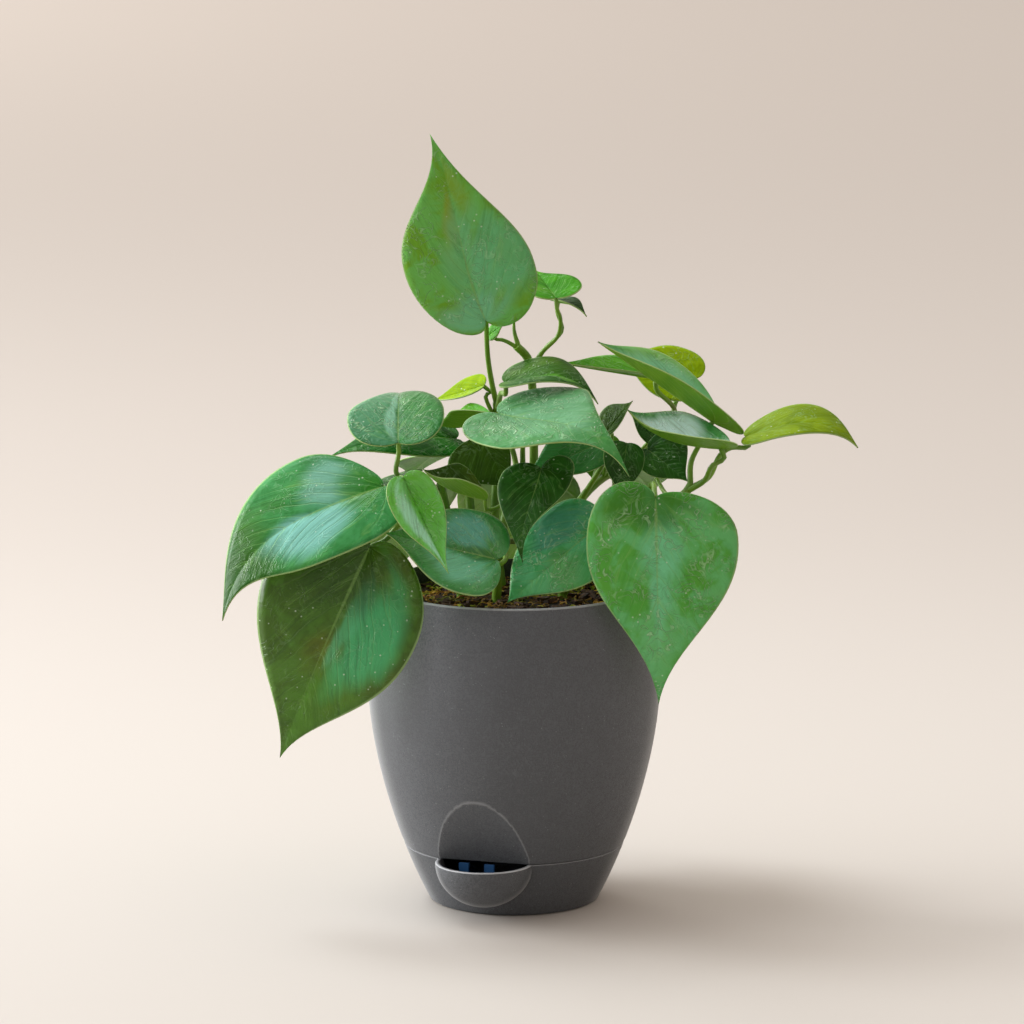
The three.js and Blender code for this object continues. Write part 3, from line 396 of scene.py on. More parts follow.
# What single leaves have otherwise. glow is the share of the warm tone, wrinkled the strength of the
# wrinkles and of the painted glints along them, vein the colour of the veins, and coat a clear gloss.
# The patches are soft ovals, some of the leaf's own tint, some painted sheen and some painted shade:
# colour, place across and along, size across and along, strength
LEAF_LOOKS = {
    "leaf_crown": dict(
        ground="#6ca42a", patch="#6cb452", glow=0.2, warm="#78ac34", dark="#3a7820", rough=0.4,
        shine=0.12, wrinkled=0.5, tint_sheen_shade_patches=(
            ("#8a9a26", 0.39, 0.54, 0.1, 0.18, 0.75), ("#84a03a", 0.7, 0.72, 0.2, 0.16, 0.5),
            ("#66b888", 0.8, 0.3, 0.3, 0.28, 0.6), ("#70bc84", 0.5, 0.4, 0.2, 0.24, 0.6),
            ("#7cc4a0", 0.35, 0.04, 0.4, 0.1, 0.6))),
    "leaf_center": dict(
        ground="#488c4c", patch="#62a068", warm="#5c9840", dark="#347a34", rough=0.36, shine=0.12,
        wrinkled=0.7, tint_sheen_shade_patches=(
            ("#7cb48c", 0.45, 0.35, 0.4, 0.3, 0.5), ("#469040", 0.5, 0.85, 0.6, 0.2, 0.7))),
    "leaf_left_round": dict(
        ground="#185c1c", patch="#26702c", warm="#4a9040", dark="#246420", rough=0.32, shine=0.12,
        wrinkled=0.8, tint_sheen_shade_patches=(
            ("#4c8c64", 0.2, 0.5, 0.3, 0.8, 0.7), ("#84bc9c", 0.42, 0.5, 0.06, 0.6, 0.7),
            ("#2c7a30", 0.78, 0.5, 0.25, 0.8, 0.6))),
    "leaf_right_heart": dict(
        ground="#54a43c", patch="#66b86c", warm="#68a020", dark="#2e781c", rough=0.36, shine=0.15,
        wrinkled=0.8, tint_sheen_shade_patches=(
            ("#7cd0a0", 0.48, 0.42, 0.14, 0.34, 0.65), ("#74c480", 0.5, 0.78, 0.5, 0.24, 0.6),
            ("#36701a", 0.6, 0.02, 0.5, 0.12, 0.75))),
    "leaf_low_left_big": dict(
        ground="#3e600c", patch="#48721c", vein="#6c9444", warm="#666c0e", dark="#1e3e04", rough=0.3,
        shine=0.3, coat=0.1, wrinkled=0.12, tint_sheen_shade_patches=(
            ("#48b070", 0.22, 0.34, 0.16, 0.3, 0.8), ("#56b47c", 0.4, 0.34, 0.06, 0.2, 0.6),
            ("#2a4a08", 0.62, 0.1, 0.3, 0.2, 0.6), ("#4f8a18", 0.3, 0.75, 0.5, 0.2, 0.4))),
    "leaf_left_big": dict(
        ground="#2e7c38", patch="#3e8e4c", dark="#1c5c14", rough=0.3, shine=0.14, coat=0.03,
        wrinkled=0.12, tint_sheen_shade_patches=(
            ("#84c4b8", 0.35, 0.42, 0.24, 0.25, 0.85), ("#8cc4b4", 0.72, 0.2, 0.2, 0.14, 0.6),
            ("#285808", 0.5, 0.92, 0.9, 0.36, 0.95), ("#2f7a14", 0.62, 0.06, 0.3, 0.12, 0.8))),
    "leaf_low_mid_left": dict(
        rough=0.26, shine=0.4, coat=0.2, wrinkled=0.4, tint_sheen_shade_patches=(
            ("#60ac9c", 0.75, 0.3, 0.2, 0.25, 0.8), ("#78c8a4", 0.3, 0.3, 0.2, 0.3, 0.7),
            ("#2a6412", 0.5, 0.2, 0.08, 0.2, 0.7))),
    "leaf_low_center": dict(
        ground="#42a058", patch="#58b074", wrinkled=0.6, tint_sheen_shade_patches=(
            ("#4c8a80", 0.8, 0.25, 0.2, 0.3, 0.6), ("#57a05c", 0.3, 0.6, 0.3, 0.3, 0.5))),
    "leaf_small_folded": dict(
        ground="#6cc648", patch="#80d478", tint_sheen_shade_patches=(
            ("#b0f0cc", 0.75, 0.5, 0.14, 0.5, 0.9), ("#56a828", 0.3, 0.4, 0.3, 0.5, 0.7))),
    "leaf_right_glossy": dict(
        rough=0.24, shine=0.6, coat=0.4, tint_sheen_shade_patches=(
            ("#dcfff8", 0.74, 0.55, 0.24, 0.3, 0.95), ("#c0e4dc", 0.4, 0.6, 0.14, 0.3, 0.8),
            ("#5c7c14", 0.12, 0.5, 0.14, 0.5, 0.8))),
    "leaf_upper_right": dict(
        ground="#4c943c", patch="#60a45c", tint_sheen_shade_patches=(
            ("#7cbc98", 0.7, 0.5, 0.25, 0.5, 0.6), ("#4ca400", 0.2, 0.3, 0.3, 0.6, 0.9))),
    "leaf_upper_mid": dict(
        ground="#1e4e10", patch="#2c6018", rough=0.45, shine=0.08, tint_sheen_shade_patches=(
            ("#60a434", 0.55, 0.5, 0.12, 0.2, 0.8), ("#6aac38", 0.7, 0.65, 0.2, 0.1, 0.6))),
    "leaf_crown_side": dict(ground="#2e7404", patch="#3c860a", rough=0.5, shine=0.02),
    "leaf_right_lime": dict(ground="#6c8606", patch="#7c960c", warm="#5c7c0a", dark="#486406"),
    "leaf_left_under": dict(ground="#0e6406", patch="#1a700e", shine=0.08),
}


def colour(text):
    """Linear red, green, blue and alpha of a written screen colour."""
    parts = [int(text[i:i + 2], 16) / 255 for i in (1, 3, 5)]
    return [c / 12.92 if c <= 0.04045 else ((c + 0.055) / 1.055) ** 2.4 for c in parts] + [1]


class PotSettings(bpy.types.PropertyGroup):
    around: bpy.props.IntProperty(
        name="Steps Around", description="Faces round the pot", default=120, min=32, max=256)
    pot_colour: bpy.props.FloatVectorProperty(
        name="Pot Colour", description="Ground colour of the pot", subtype="COLOR", size=4,
        default=colour("#5b5e62"), min=0, max=1)
    # The specks' colour is also the painted sheen at the pot's edges
    speck_and_sheen_colour: bpy.props.FloatVectorProperty(
        name="Speck Colour", description="Fine specks in the pot's plastic", subtype="COLOR", size=4,
        default=colour("#a4a6a8"), min=0, max=1)
    insert_colour: bpy.props.FloatVectorProperty(
        name="Insert Colour", description="Blue plastic of the water insert", subtype="COLOR", size=4,
        default=colour("#2c5f94"), min=0, max=1)


class PlantSettings(bpy.types.PropertyGroup):
    rows: bpy.props.IntProperty(
        name="Blade Rows", description="Faces along a leaf's edge", default=44, min=12, max=96)
    columns: bpy.props.IntProperty(
        name="Blade Columns", description="Faces from the midrib to the edge", default=11, min=3, max=24)
    groove: bpy.props.FloatProperty(
        name="Midrib Groove", description="Depth of the channel over the midrib", unit="LENGTH",
        default=0.0005, min=0, max=0.002)
    vein_spacing: bpy.props.FloatProperty(
        name="Vein Spacing", description="Space between side veins as a share of the blade's length",
        default=0.12, min=0.04, max=0.3)
    under_colour: bpy.props.FloatVectorProperty(
        name="Underside Colour", description="Colour of the leaves' undersides", subtype="COLOR", size=4,
        default=colour("#5a9010"), min=0, max=1)
    # The pale line round each leaf is a painted edge highlight
    margin_highlight_colour: bpy.props.FloatVectorProperty(
        name="Margin Colour", description="Pale line round each leaf", subtype="COLOR", size=4,
        default=colour("#9dbd7a"), min=0, max=1)
    stem_colour: bpy.props.FloatVectorProperty(
        name="Stem Colour", description="Colour of stems and petioles", subtype="COLOR", size=4,
        default=colour("#527c1c"), min=0, max=1)
    chips: bpy.props.IntProperty(
        name="Bark Chips", description="Chips of bark on the soil", default=150, min=0, max=400)
    moss: bpy.props.IntProperty(
        name="Moss Strands", description="Strands of moss on the soil", default=700, min=0, max=2000)


class StageSettings(bpy.types.PropertyGroup):
    floor_colour: bpy.props.FloatVectorProperty(
        name="Floor Colour", description="Plain pale floor", subtype="COLOR", size=4,
        default=colour("#c9c2ba"), min=0, max=1)
    window_strength: bpy.props.FloatProperty(
        name="Window Light", description="Strength of the soft light from the left", default=0.11, min=0)
    panel_power: bpy.props.FloatProperty(
        name="Left Panel", description="Power of the pale panel on the left", unit="POWER",
        default=54, min=0)
    top_power: bpy.props.FloatProperty(
        name="Top Panel", description="Power of the cool panel above", unit="POWER",
        default=20, min=0)
    back_power: bpy.props.FloatProperty(
        name="Back Panel", description="Power of the panel over the floor behind", unit="POWER",
        default=60, min=0)
    air: bpy.props.FloatProperty(
        name="Surrounding Light", description="Strength of the even light all round", default=0.76, min=0)


# Materials

class Nodes:
    """A node tree, with the few kinds of node that the finishes and the room's light need."""

    def __init__(self, tree):
        self.tree = tree

    def node(self, kind, **inputs):
        """A new node with its inputs set; _ in an input's name stands for a space."""
        made = self.tree.nodes.new(kind)
        for name, value in inputs.items():
            self.put(made.inputs[name.replace("_", " ")], value)
        return made

    def put(self, socket, value):
        """Links another socket to this one, or sets its value."""
        if isinstance(value, bpy.types.NodeSocket):
            self.tree.links.new(value, socket)
        else:
            socket.default_value = value

    def math(self, operation, a, b=0.0):
        """The result of a sum with two values."""
        made = self.tree.nodes.new("ShaderNodeMath")
        made.operation = operation
        self.put(made.inputs[0], a)
        self.put(made.inputs[1], b)
        return made.outputs[0]

    def times(self, a, b):
        return self.math("MULTIPLY", a, b)

    def plus(self, a, b):
        return self.math("ADD", a, b)

    def away(self, value, middle):
        """How far a value is from a number."""
        return self.math("ABSOLUTE", self.math("SUBTRACT", value, middle))

    def ramp(self, value, low, high, to_low=0.0, to_high=1.0):
        """Maps a value between two limits, smoothly, onto another range."""
        made = self.tree.nodes.new("ShaderNodeMapRange")
        made.interpolation_type = "SMOOTHSTEP"
        for socket, number in zip(made.inputs, (value, low, high, to_low, to_high)):
            self.put(socket, number)
        return made.outputs[0]

    def mix(self, factor, a, b):
        """A colour between two others."""
        made = self.tree.nodes.new("ShaderNodeMix")
        made.data_type = "RGBA"
        self.put(made.inputs["Factor"], factor)
        self.put(made.inputs[6], a)
        self.put(made.inputs[7], b)
        return made.outputs[2]

    def place(self):
        """Place on the piece, in metres."""
        return self.tree.nodes.new("ShaderNodeTexCoord").outputs["Object"]

    def patchy(self, tone, tint, noise, low, high, most=1.0):
        """A tone with another over it that fades in as a noise (scale, detail) goes from low to high."""
        scale, detail = noise
        return self.mix(self.ramp(self.grain(scale, detail), low, high, 0.0, most), tone, tint)

    def grain(self, scale, detail=3.0, rough=0.5, at=None, swirl=0.0):
        """Smooth noise from 0 to 1 with features of about 1/scale metres."""
        made = self.node("ShaderNodeTexNoise", Vector=at or self.place(), Scale=scale, Detail=detail,
                         Roughness=rough, Distortion=swirl)
        return made.outputs["Fac"]

    def joined(self, x, y, z=0.0):
        """A place made of three values."""
        return self.node("ShaderNodeCombineXYZ", X=x, Y=y, Z=z).outputs["Vector"]

    def spot(self, across, along, middle, size, ragged):
        """1 inside a soft oval of the blade, 0 outside; ragged is added to its edge."""
        dx = self.math("DIVIDE", self.math("SUBTRACT", across, middle[0]), size[0])
        dy = self.math("DIVIDE", self.math("SUBTRACT", along, middle[1]), size[1])
        square = self.plus(self.times(dx, dx), self.times(dy, dy))
        away = self.math("SQRT", square)
        return self.ramp(self.plus(away, ragged), 0.55, 1.35, 1.0, 0.0)

    def cells(self, scale):
        """Distance to the nearest of many scattered dots."""
        made = self.node("ShaderNodeTexVoronoi", Vector=self.place(), Scale=scale)
        return made.outputs["Distance"]

    def uv(self, name):
        """The two values of the piece's own map of that name."""
        made = self.tree.nodes.new("ShaderNodeUVMap")
        made.uv_map = name
        split = self.node("ShaderNodeSeparateXYZ", Vector=made.outputs["UV"])
        return split.outputs["X"], split.outputs["Y"]


class Paint(Nodes):
    """A node material."""

    def __init__(self, name):
        self.material = bpy.data.materials.new(name)
        self.material.use_nodes = True
        super().__init__(self.material.node_tree)
        self.shader = self.tree.nodes["Principled BSDF"]

    def set(self, **inputs):
        """Sets inputs of the surface's shader; _ in a name stands for a space."""
        for name, value in inputs.items():
            self.put(self.shader.inputs[name.replace("_", " ")], value)

    def bump(self, height, strength, distance):
        """Gives the surface its fine relief."""
        made = self.node("ShaderNodeBump", Height=height, Strength=strength, Distance=distance)
        self.set(Normal=made.outputs["Normal"])


def pot_material(name, ground, speck_and_sheen, shade=1.0):
    """Matt grey plastic with fine swirled lines, tiny specks, painted highlights along its edges and a
    painted sheen where it is seen edge-on.
    """
    paint = Paint(name)
    base = [c * shade for c in ground[:3]] + [1]
    dark = [c * 0.78 for c in base[:3]] + [1]
    light = [c * 1.35 for c in base[:3]] + [1]
    swirls = paint.grain(560, 1, 0.5, swirl=2.4)
    tone = paint.mix(paint.ramp(swirls, 0.4, 0.6), dark, base)
    line = paint.ramp(paint.away(swirls, 0.53), 0.0, 0.05, 0.55, 0.0)
    tone = paint.mix(line, tone, light)
    tone = paint.patchy(tone, dark, (28, 3), 0.35, 0.65, 0.25)
    specks = paint.ramp(paint.cells(620), 0.09, 0.17, 1.0, 0.0)
    sparse = paint.ramp(paint.grain(260, 2), 0.54, 0.64)
    tone = paint.mix(paint.times(paint.times(specks, sparse), 0.6), tone, list(speck_and_sheen))
    # Painted highlights along the recess's edge, the rim, the seam and the cup's lip
    painted_highlight = paint.node("ShaderNodeAttribute")
    painted_highlight.attribute_name = "painted_highlight"
    tone = paint.mix(paint.times(painted_highlight.outputs["Fac"], 0.9), tone, colour("#d4d6d8"))
    # A painted sheen in the specks' colour where the surface is seen edge-on
    painted_sheen = paint.node("ShaderNodeLayerWeight", Blend=0.5)
    tone = paint.mix(paint.ramp(painted_sheen.outputs["Facing"], 0.6, 1.0, 0.0, 0.8), tone, list(speck_and_sheen))
    paint.set(Base_Color=tone, Roughness=0.55, Specular_IOR_Level=0.5)
    paint.bump(paint.plus(swirls, line), 0.7, 0.0003)
    return paint.material


def insert_material(settings):
    """Smooth blue plastic."""
    paint = Paint("Water Insert Blue Plastic")
    tint = paint.mix(paint.grain(60, 2), list(settings.insert_colour), colour("#234a76"))
    paint.set(Base_Color=tint, Roughness=0.35)
    paint.bump(paint.grain(900, 2), 0.15, 0.0001)
    return paint.material


def soil_material():
    """Dark crumbly soil with mossy patches."""
    paint = Paint("Potting Soil")
    crumbs = paint.grain(420, 6, 0.65)
    tone = paint.mix(paint.ramp(crumbs, 0.35, 0.7), colour("#16100b"), colour("#3c2c1e"))
    tone = paint.patchy(tone, colour("#2c2a12"), (160, 4), 0.55, 0.7)
    paint.set(Base_Color=tone, Roughness=0.95)
    paint.bump(crumbs, 1.0, 0.003)
    return paint.material


def bark_material():
    """Dark brown fibrous bark."""
    paint = Paint("Bark Chips")
    fibre = paint.grain(500, 5, 0.6)
    tone = paint.mix(paint.ramp(fibre, 0.35, 0.7), colour("#1c0f07"), colour("#5c3a1c"))
    tone = paint.patchy(tone, colour("#3a2416"), (90, 2), 0.4, 0.7)
    paint.set(Base_Color=tone, Roughness=0.85)
    paint.bump(fibre, 0.7, 0.0008)
    return paint.material


def moss_material():
    """Dry orange-brown strands, some of them yellow-green."""
    paint = Paint("Moss Strands")
    tone = paint.patchy(colour("#8c5c1c"), colour("#c89c34"), (260, 2), 0.42, 0.58)
    tone = paint.patchy(tone, colour("#98a028"), (90, 2), 0.5, 0.62)
    tone = paint.patchy(tone, colour("#3a220c"), (60, 2), 0.55, 0.45, 0.6)
    paint.set(Base_Color=tone, Roughness=0.8)
    paint.bump(paint.grain(1800, 2), 0.4, 0.0003)
    return paint.material


def stem_material(settings):
    """Green stems with brownish stretches and fine pale specks."""
    paint = Paint("Green Stem")
    tone = paint.patchy(list(settings.stem_colour), colour("#78a024"), (70, 3), 0.3, 0.7)
    tone = paint.patchy(tone, colour("#6d6a34"), (38, 2), 0.58, 0.75, 0.7)
    specks = paint.ramp(paint.cells(900), 0.08, 0.16, 0.5, 0.0)
    tone = paint.mix(specks, tone, colour("#a9b678"))
    paint.set(Base_Color=tone, Roughness=0.42)
    paint.bump(paint.grain(600, 3), 0.3, 0.0003)
    return paint.material


def vein_lines(paint, phase, spacing, width):
    """1 on evenly spaced lines of a phase, 0 between them."""
    turn = paint.math("FRACT", paint.plus(paint.math("DIVIDE", phase, spacing), 0.5))
    off = paint.away(turn, 0.5)
    return paint.ramp(off, 0.0, width, 1.0, 0.0)


def leaf_top_material(name, look, settings):
    """Upper side of a blade: blotches, ovals of own tint, painted sheen and painted shade, streaks along
    its veins, fine wrinkles with painted glints, and a pale margin that is a painted edge highlight.
    """
    paint = Paint(name)
    wrinkled = look.get("wrinkled", 0.3)
    pale = colour(look.get("vein", "#88bc66"))
    across, along = paint.uv("blade")
    phase, half_across = paint.uv("nerves")
    share = paint.away(paint.times(across, 2.0), 1.0)
    wander = paint.times(paint.math("SUBTRACT", paint.grain(40, 3), 0.5), 0.12)
    phase = paint.plus(phase, wander)
    fibre = paint.joined(paint.times(phase, 18), paint.times(half_across, 3.2), across)
    streaks = paint.grain(1.0, 3, 0.6, at=fibre, swirl=0.6)
    wide = paint.grain(0.3, 2, 0.5, at=fibre, swirl=0.3)
    blotch = paint.grain(75, 3, 0.6, swirl=0.8)
    tone = paint.mix(paint.ramp(blotch, 0.4, 0.6), colour(look["ground"]), colour(look["patch"]))
    tone = paint.patchy(tone, colour(look["warm"]), (34, 2), 0.5, 0.75, look.get("glow", 0.5))
    ragged = paint.times(paint.math("SUBTRACT", wide, 0.5), 1.3)
    # Soft ovals of the leaf's own tint, of painted sheen and of painted shade
    for tint, middle_across, middle_along, broad, tall, strength in look.get("tint_sheen_shade_patches", ()):
        inside = paint.spot(across, along, (middle_across, middle_along), (broad, tall), ragged)
        tone = paint.mix(paint.times(inside, strength), tone, colour(tint))
    dark = colour(look["dark"])
    tone = paint.mix(paint.ramp(wide, 0.46, 0.3, 0.0, 0.35 - 0.25 * wrinkled), tone, dark)
    tone = paint.mix(paint.ramp(streaks, 0.46, 0.3, 0.0, 0.35 - 0.2 * wrinkled), tone, dark)
    tone = paint.mix(paint.ramp(streaks, 0.58, 0.7, 0.0, 0.25), tone, pale)
    veins = paint.times(vein_lines(paint, phase, settings.vein_spacing, 0.08),
                       paint.ramp(share, 0.5, 0.95, 1.0, 0.2))
    tone = paint.mix(paint.times(veins, 0.2), tone, pale)
    rib = paint.ramp(share, 0.008, 0.03, 1.0, 0.0)
    rib = paint.times(rib, paint.ramp(along, 0.1, 0.9, 0.5, 0.1))
    tone = paint.mix(rib, tone, colour("#86ac5c"))
    crumple = paint.grain(150, 1, 0.5, swirl=1.8)
    crease_and_glint = paint.ramp(paint.away(crumple, 0.5), 0.0, 0.05, 1.0, 0.0)
    crease_and_glint = paint.times(crease_and_glint, paint.ramp(paint.grain(70, 2), 0.42, 0.6))
    # Pale lines along the creases: painted glints on the wrinkles
    tone = paint.mix(paint.times(crease_and_glint, 0.6 * wrinkled), tone, colour("#b4dca8"))
    specks = paint.times(paint.ramp(paint.cells(330), 0.09, 0.17, 1.0, 0.0),
                        paint.ramp(paint.grain(110, 2), 0.5, 0.6))
    tone = paint.mix(paint.times(specks, 0.6), tone, colour("#d2e2c8"))
    # A pale line along the blade's edge: a painted edge highlight
    margin_highlight = paint.ramp(share, 0.972, 0.99)
    tone = paint.mix(paint.times(margin_highlight, 0.75), tone, list(settings.margin_highlight_colour))
    rough = paint.ramp(streaks, 0.3, 0.7, look["rough"] + 0.08, look["rough"] - 0.05)
    paint.set(Base_Color=tone, Roughness=rough, Specular_IOR_Level=look["shine"],
              Coat_Weight=look.get("coat", 0), Coat_Roughness=0.14)
    height = paint.plus(paint.times(wide, 1.3), paint.times(streaks, 0.4))
    height = paint.plus(height, paint.times(veins, -0.15))
    creased = paint.times(paint.plus(crumple, crease_and_glint), 1.2 * wrinkled)
    height = paint.plus(height, creased)
    paint.bump(height, 0.7, 0.0009)
    return paint.material


def leaf_under_material(settings):
    """Underside of a blade: lighter and duller, with raised veins."""
    paint = Paint("Leaf Underside")
    across = paint.uv("blade")[0]
    phase = paint.uv("nerves")[0]
    share = paint.away(paint.times(across, 2.0), 1.0)
    tone = paint.patchy(list(settings.under_colour), colour("#6c9c1c"), (60, 3), 0.35, 0.65)
    veins = vein_lines(paint, phase, settings.vein_spacing, 0.1)
    tone = paint.mix(paint.times(veins, 0.25), tone, colour("#98b450"))
    rib = paint.ramp(share, 0.01, 0.045, 1.0, 0.0)
    tone = paint.mix(paint.times(rib, 0.6), tone, colour("#9cb858"))
    paint.set(Base_Color=tone, Roughness=0.5)
    paint.bump(paint.plus(veins, paint.grain(400, 3)), 0.5, 0.0004)
    return paint.material


def leaf_edge_highlight_material(settings):
    """The pale edge of a blade, a painted edge highlight."""
    paint = Paint("Leaf Margin Highlight")
    tone = paint.mix(paint.grain(120, 2), list(settings.margin_highlight_colour), colour("#8ea548"))
    paint.set(Base_Color=tone, Roughness=0.45)
    return paint.material


# Shapes

def lerp(a, b, t):
    """The value at a share of the way from one value to another."""
    return a + (b - a) * t


def cubic(p0, p1, p2, p3, t):
    """A point of a cubic curve through two ends with two pulls."""
    u = 1 - t
    return tuple(u * u * u * a + 3 * u * u * t * b + 3 * u * t * t * c + t * t * t * d
                 for a, b, c, d in zip(p0, p1, p2, p3))


SIDE_ENDS = ((FOOT_RADIUS, 0), SIDE_LOWER_PULL, SIDE_UPPER_PULL, (RIM_RADIUS, POT_HEIGHT))
SIDE_STEPS = 800
SIDE_POINTS = [cubic(*SIDE_ENDS, i / SIDE_STEPS) for i in range(SIDE_STEPS + 1)]
SIDE_HEIGHTS = [point[1] for point in SIDE_POINTS]


def side_radius(height):
    """Radius of the pot's outer side at a height, in millimetres."""
    i = min(max(bisect.bisect(SIDE_HEIGHTS, height), 1), SIDE_STEPS)
    (r0, z0), (r1, z1) = SIDE_POINTS[i - 1], SIDE_POINTS[i]
    return lerp(r0, r1, (height - z0) / (z1 - z0))


def soft_max(a, b, softness):
    """The larger of two values, with a rounded change from one to the other."""
    return (a + b + math.sqrt((a - b) ** 2 + softness ** 2)) / 2


def placed(name, data, place=(0, 0, 0)):
    """A new object with its data, linked to the scene at a place."""
    made = bpy.data.objects.new(name, data)
    made.location = place
    bpy.context.scene.collection.objects.link(made)
    return made


def mesh_from(bm, name, materials):
    """The lasting form of a mesh that was worked on, with its materials."""
    mesh = bpy.data.meshes.new(name)
    bm.to_mesh(mesh)
    bm.free()
    for material in materials:
        mesh.materials.append(material)
    return mesh


def piece(bm, name, materials, nodes, sharp=38):
    """Finishes a mesh, gives it its materials, hangs it on the root body and hides the parts of the frame
    that it takes the place of.
    """
    bm.normal_update()
    for edge in bm.edges:
        if len(edge.link_faces) == 2 and edge.calc_face_angle(0) > math.radians(sharp):
            edge.smooth = False
    for face in bm.faces:
        face.smooth = True
    made = placed(name, mesh_from(bm, name, materials))
    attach(made, "root")
    if nodes:
        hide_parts(*nodes)
    return made


def refinish(node, material):
    """Gives a part of the frame its material and leaves its mesh alone."""
    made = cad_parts[node]
    made.data.materials.clear()
    made.data.materials.append(material)
    return made


def spun(profile, near_steps, far_steps):
    """Turns (radius, height) points about Z, finely at the filling place: the mesh and its layer of painted
    highlights.
    """
    bm = bmesh.new()
    near, far = 2 * FILL_HALF_ANGLE, 2 * (math.pi - FILL_HALF_ANGLE)
    for start, sweep, steps in ((0, near, near_steps), (near, far, far_steps)):
        turn = Matrix.Rotation(start, 3, "Z")
        verts = [bm.verts.new(turn @ Vector((r * MM, 0, z * MM))) for r, z in profile]
        edges = [bm.edges.new(pair) for pair in zip(verts, verts[1:])]
        bmesh.ops.spin(bm, geom=verts + edges, cent=(0, 0, 0), axis=(0, 0, 1), angle=sweep, steps=steps,
                       use_merge=False)
    bmesh.ops.remove_doubles(bm, verts=bm.verts, dist=SAME_PLACE * MM)
    bmesh.ops.recalc_face_normals(bm, faces=bm.faces)
    painted_highlight = bm.verts.layers.float.new("painted_highlight")
    angle = FILL_AZIMUTH - math.pi / 2 - FILL_HALF_ANGLE
    bmesh.ops.rotate(bm, verts=bm.verts, cent=(0, 0, 0), matrix=Matrix.Rotation(angle, 3, "Z"))
    return bm, painted_highlight


def quarter(radius, height, inner, size, up):
    """Points of a rounded outer or inner corner at the end of a wall."""
    sign = 1 if up else -1
    points = []
    for i in range(CORNER_STEPS + 1):
        turn = math.pi / 2 * i / CORNER_STEPS
        out = size * (1 - math.cos(turn))
        rise = size * (1 - math.sin(turn))
        points.append((radius - out if not inner else radius + out, height - sign * rise))
    return points if not inner else points[::-1]


def wall_points(start, end, rows, inset=0.0):
    """Points (radius, height) on the pot's side, or inside it, from one height to another."""
    heights = [lerp(start, end, i / rows) for i in range(rows + 1)]
    return [(side_radius(height) - inset, height) for height in heights]


def rim_points(top, size):
    """Points over the rounded top of a wall."""
    out = quarter(side_radius(top - size), top, False, size, True)
    return out[1:] + quarter(side_radius(top) - WALL, top, True, size, True)


def add_pot(settings):
    """The pot: a wall with a rounded rim, a floor, a wick well and the flat recess at the front."""
    bottom = SEAM_HEIGHT + SEAM_GAP
    top = POT_HEIGHT
    outer = wall_points(bottom + EDGE_ROUND, top - RIM_ROUND, POT_ROWS)
    foot = quarter(side_radius(bottom), bottom, False, EDGE_ROUND, False)[::-1]
    floor_top = FLOOR_HEIGHT + FLOOR_THICKNESS
    inner = wall_points(top - RIM_ROUND, floor_top, INNER_ROWS, WALL)
    well_in = [(WELL_RADIUS - WALL, floor_top), (WELL_FOOT_RADIUS - WALL, WELL_BOTTOM + WALL),
               (0, WELL_BOTTOM + WALL)]
    well_out = [(0, WELL_BOTTOM), (WELL_FOOT_RADIUS, WELL_BOTTOM), (WELL_RADIUS, FLOOR_HEIGHT)]
    skirt = side_radius(FLOOR_HEIGHT) - WALL
    profile = foot + outer[1:] + rim_points(top, RIM_ROUND) + inner[1:] + well_in + well_out
    profile += [(skirt, FLOOR_HEIGHT), (skirt, bottom), foot[0]]
    bm, painted_highlight = spun(profile, RECESS_ARCS, settings.around)
    normal = (FILL_WAY - Vector((0, 0, RECESS_SLOPE))).normalized()
    start = FILL_WAY * RECESS_DISTANCE + Vector((0, 0, SEAM_HEIGHT))

    def outside(vert):
        height = vert.co.z / MM
        return math.hypot(vert.co.x, vert.co.y) / MM > side_radius(height) - WALL / 2

    # Lines are cut into the wall along the recess's edge, so that the edge stays crisp; the middle line
    # gets a painted highlight
    for shift in (-RECESS_EDGE, 0.0, RECESS_EDGE):
        faces = [f for f in bm.faces if all(outside(v) for v in f.verts)]
        geom = list({v for f in faces for v in f.verts}) + list({e for f in faces for e in f.edges}) + faces
        cut = bmesh.ops.bisect_plane(bm, geom=geom, dist=SAME_PLACE * MM, plane_no=normal,
                                     plane_co=(start + FILL_WAY * shift) * MM)
        for vert in cut["geom_cut"]:
            if isinstance(vert, bmesh.types.BMVert):
                vert[painted_highlight] = RECESS_HIGHLIGHT if shift == 0 else 0
    for vert in bm.verts:
        place = vert.co / MM
        if place.z < bottom - SAME_PLACE or math.hypot(place.x, place.y) < WELL_RADIUS + 1:
            continue
        inset = 0 if outside(vert) else WALL
        wanted = RECESS_DISTANCE - inset + (place.z - SEAM_HEIGHT) * RECESS_SLOPE
        excess = soft_max(0, place.dot(FILL_WAY) - wanted, RECESS_SOFTNESS)
        vert.co -= FILL_WAY * excess * MM
    # A painted highlight round the outer top of the rim
    for vert in bm.verts:
        if vert.co.z > (top - RIM_ROUND * 0.75) * MM and outside(vert):
            vert[painted_highlight] = RIM_HIGHLIGHT
    material = pot_material("Speckled Grey Pot", settings.pot_colour, settings.speck_and_sheen_colour)
    return piece(bm, "pot_shell", [material], ["pot_body"])


def ball_reach(x, y, height, wall):
    """Distance from the axis to the far side of the cup's ball through a point, or 0 beside it."""
    level = (SEAM_HEIGHT - height) / (CUP_DEPTH - wall)
    if level >= 1:
        return 0
    radius = (CUP_RADIUS - wall) * math.sqrt(1 - max(level, 0) ** 2)
    away = math.hypot(x, y)
    cosine = Vector((x, y, 0)).dot(FILL_WAY) / away
    middle = RECESS_DISTANCE * cosine
    root = middle * middle - RECESS_DISTANCE ** 2 + radius * radius
    if root <= 0 or middle <= 0:
        return 0
    return middle + math.sqrt(root)


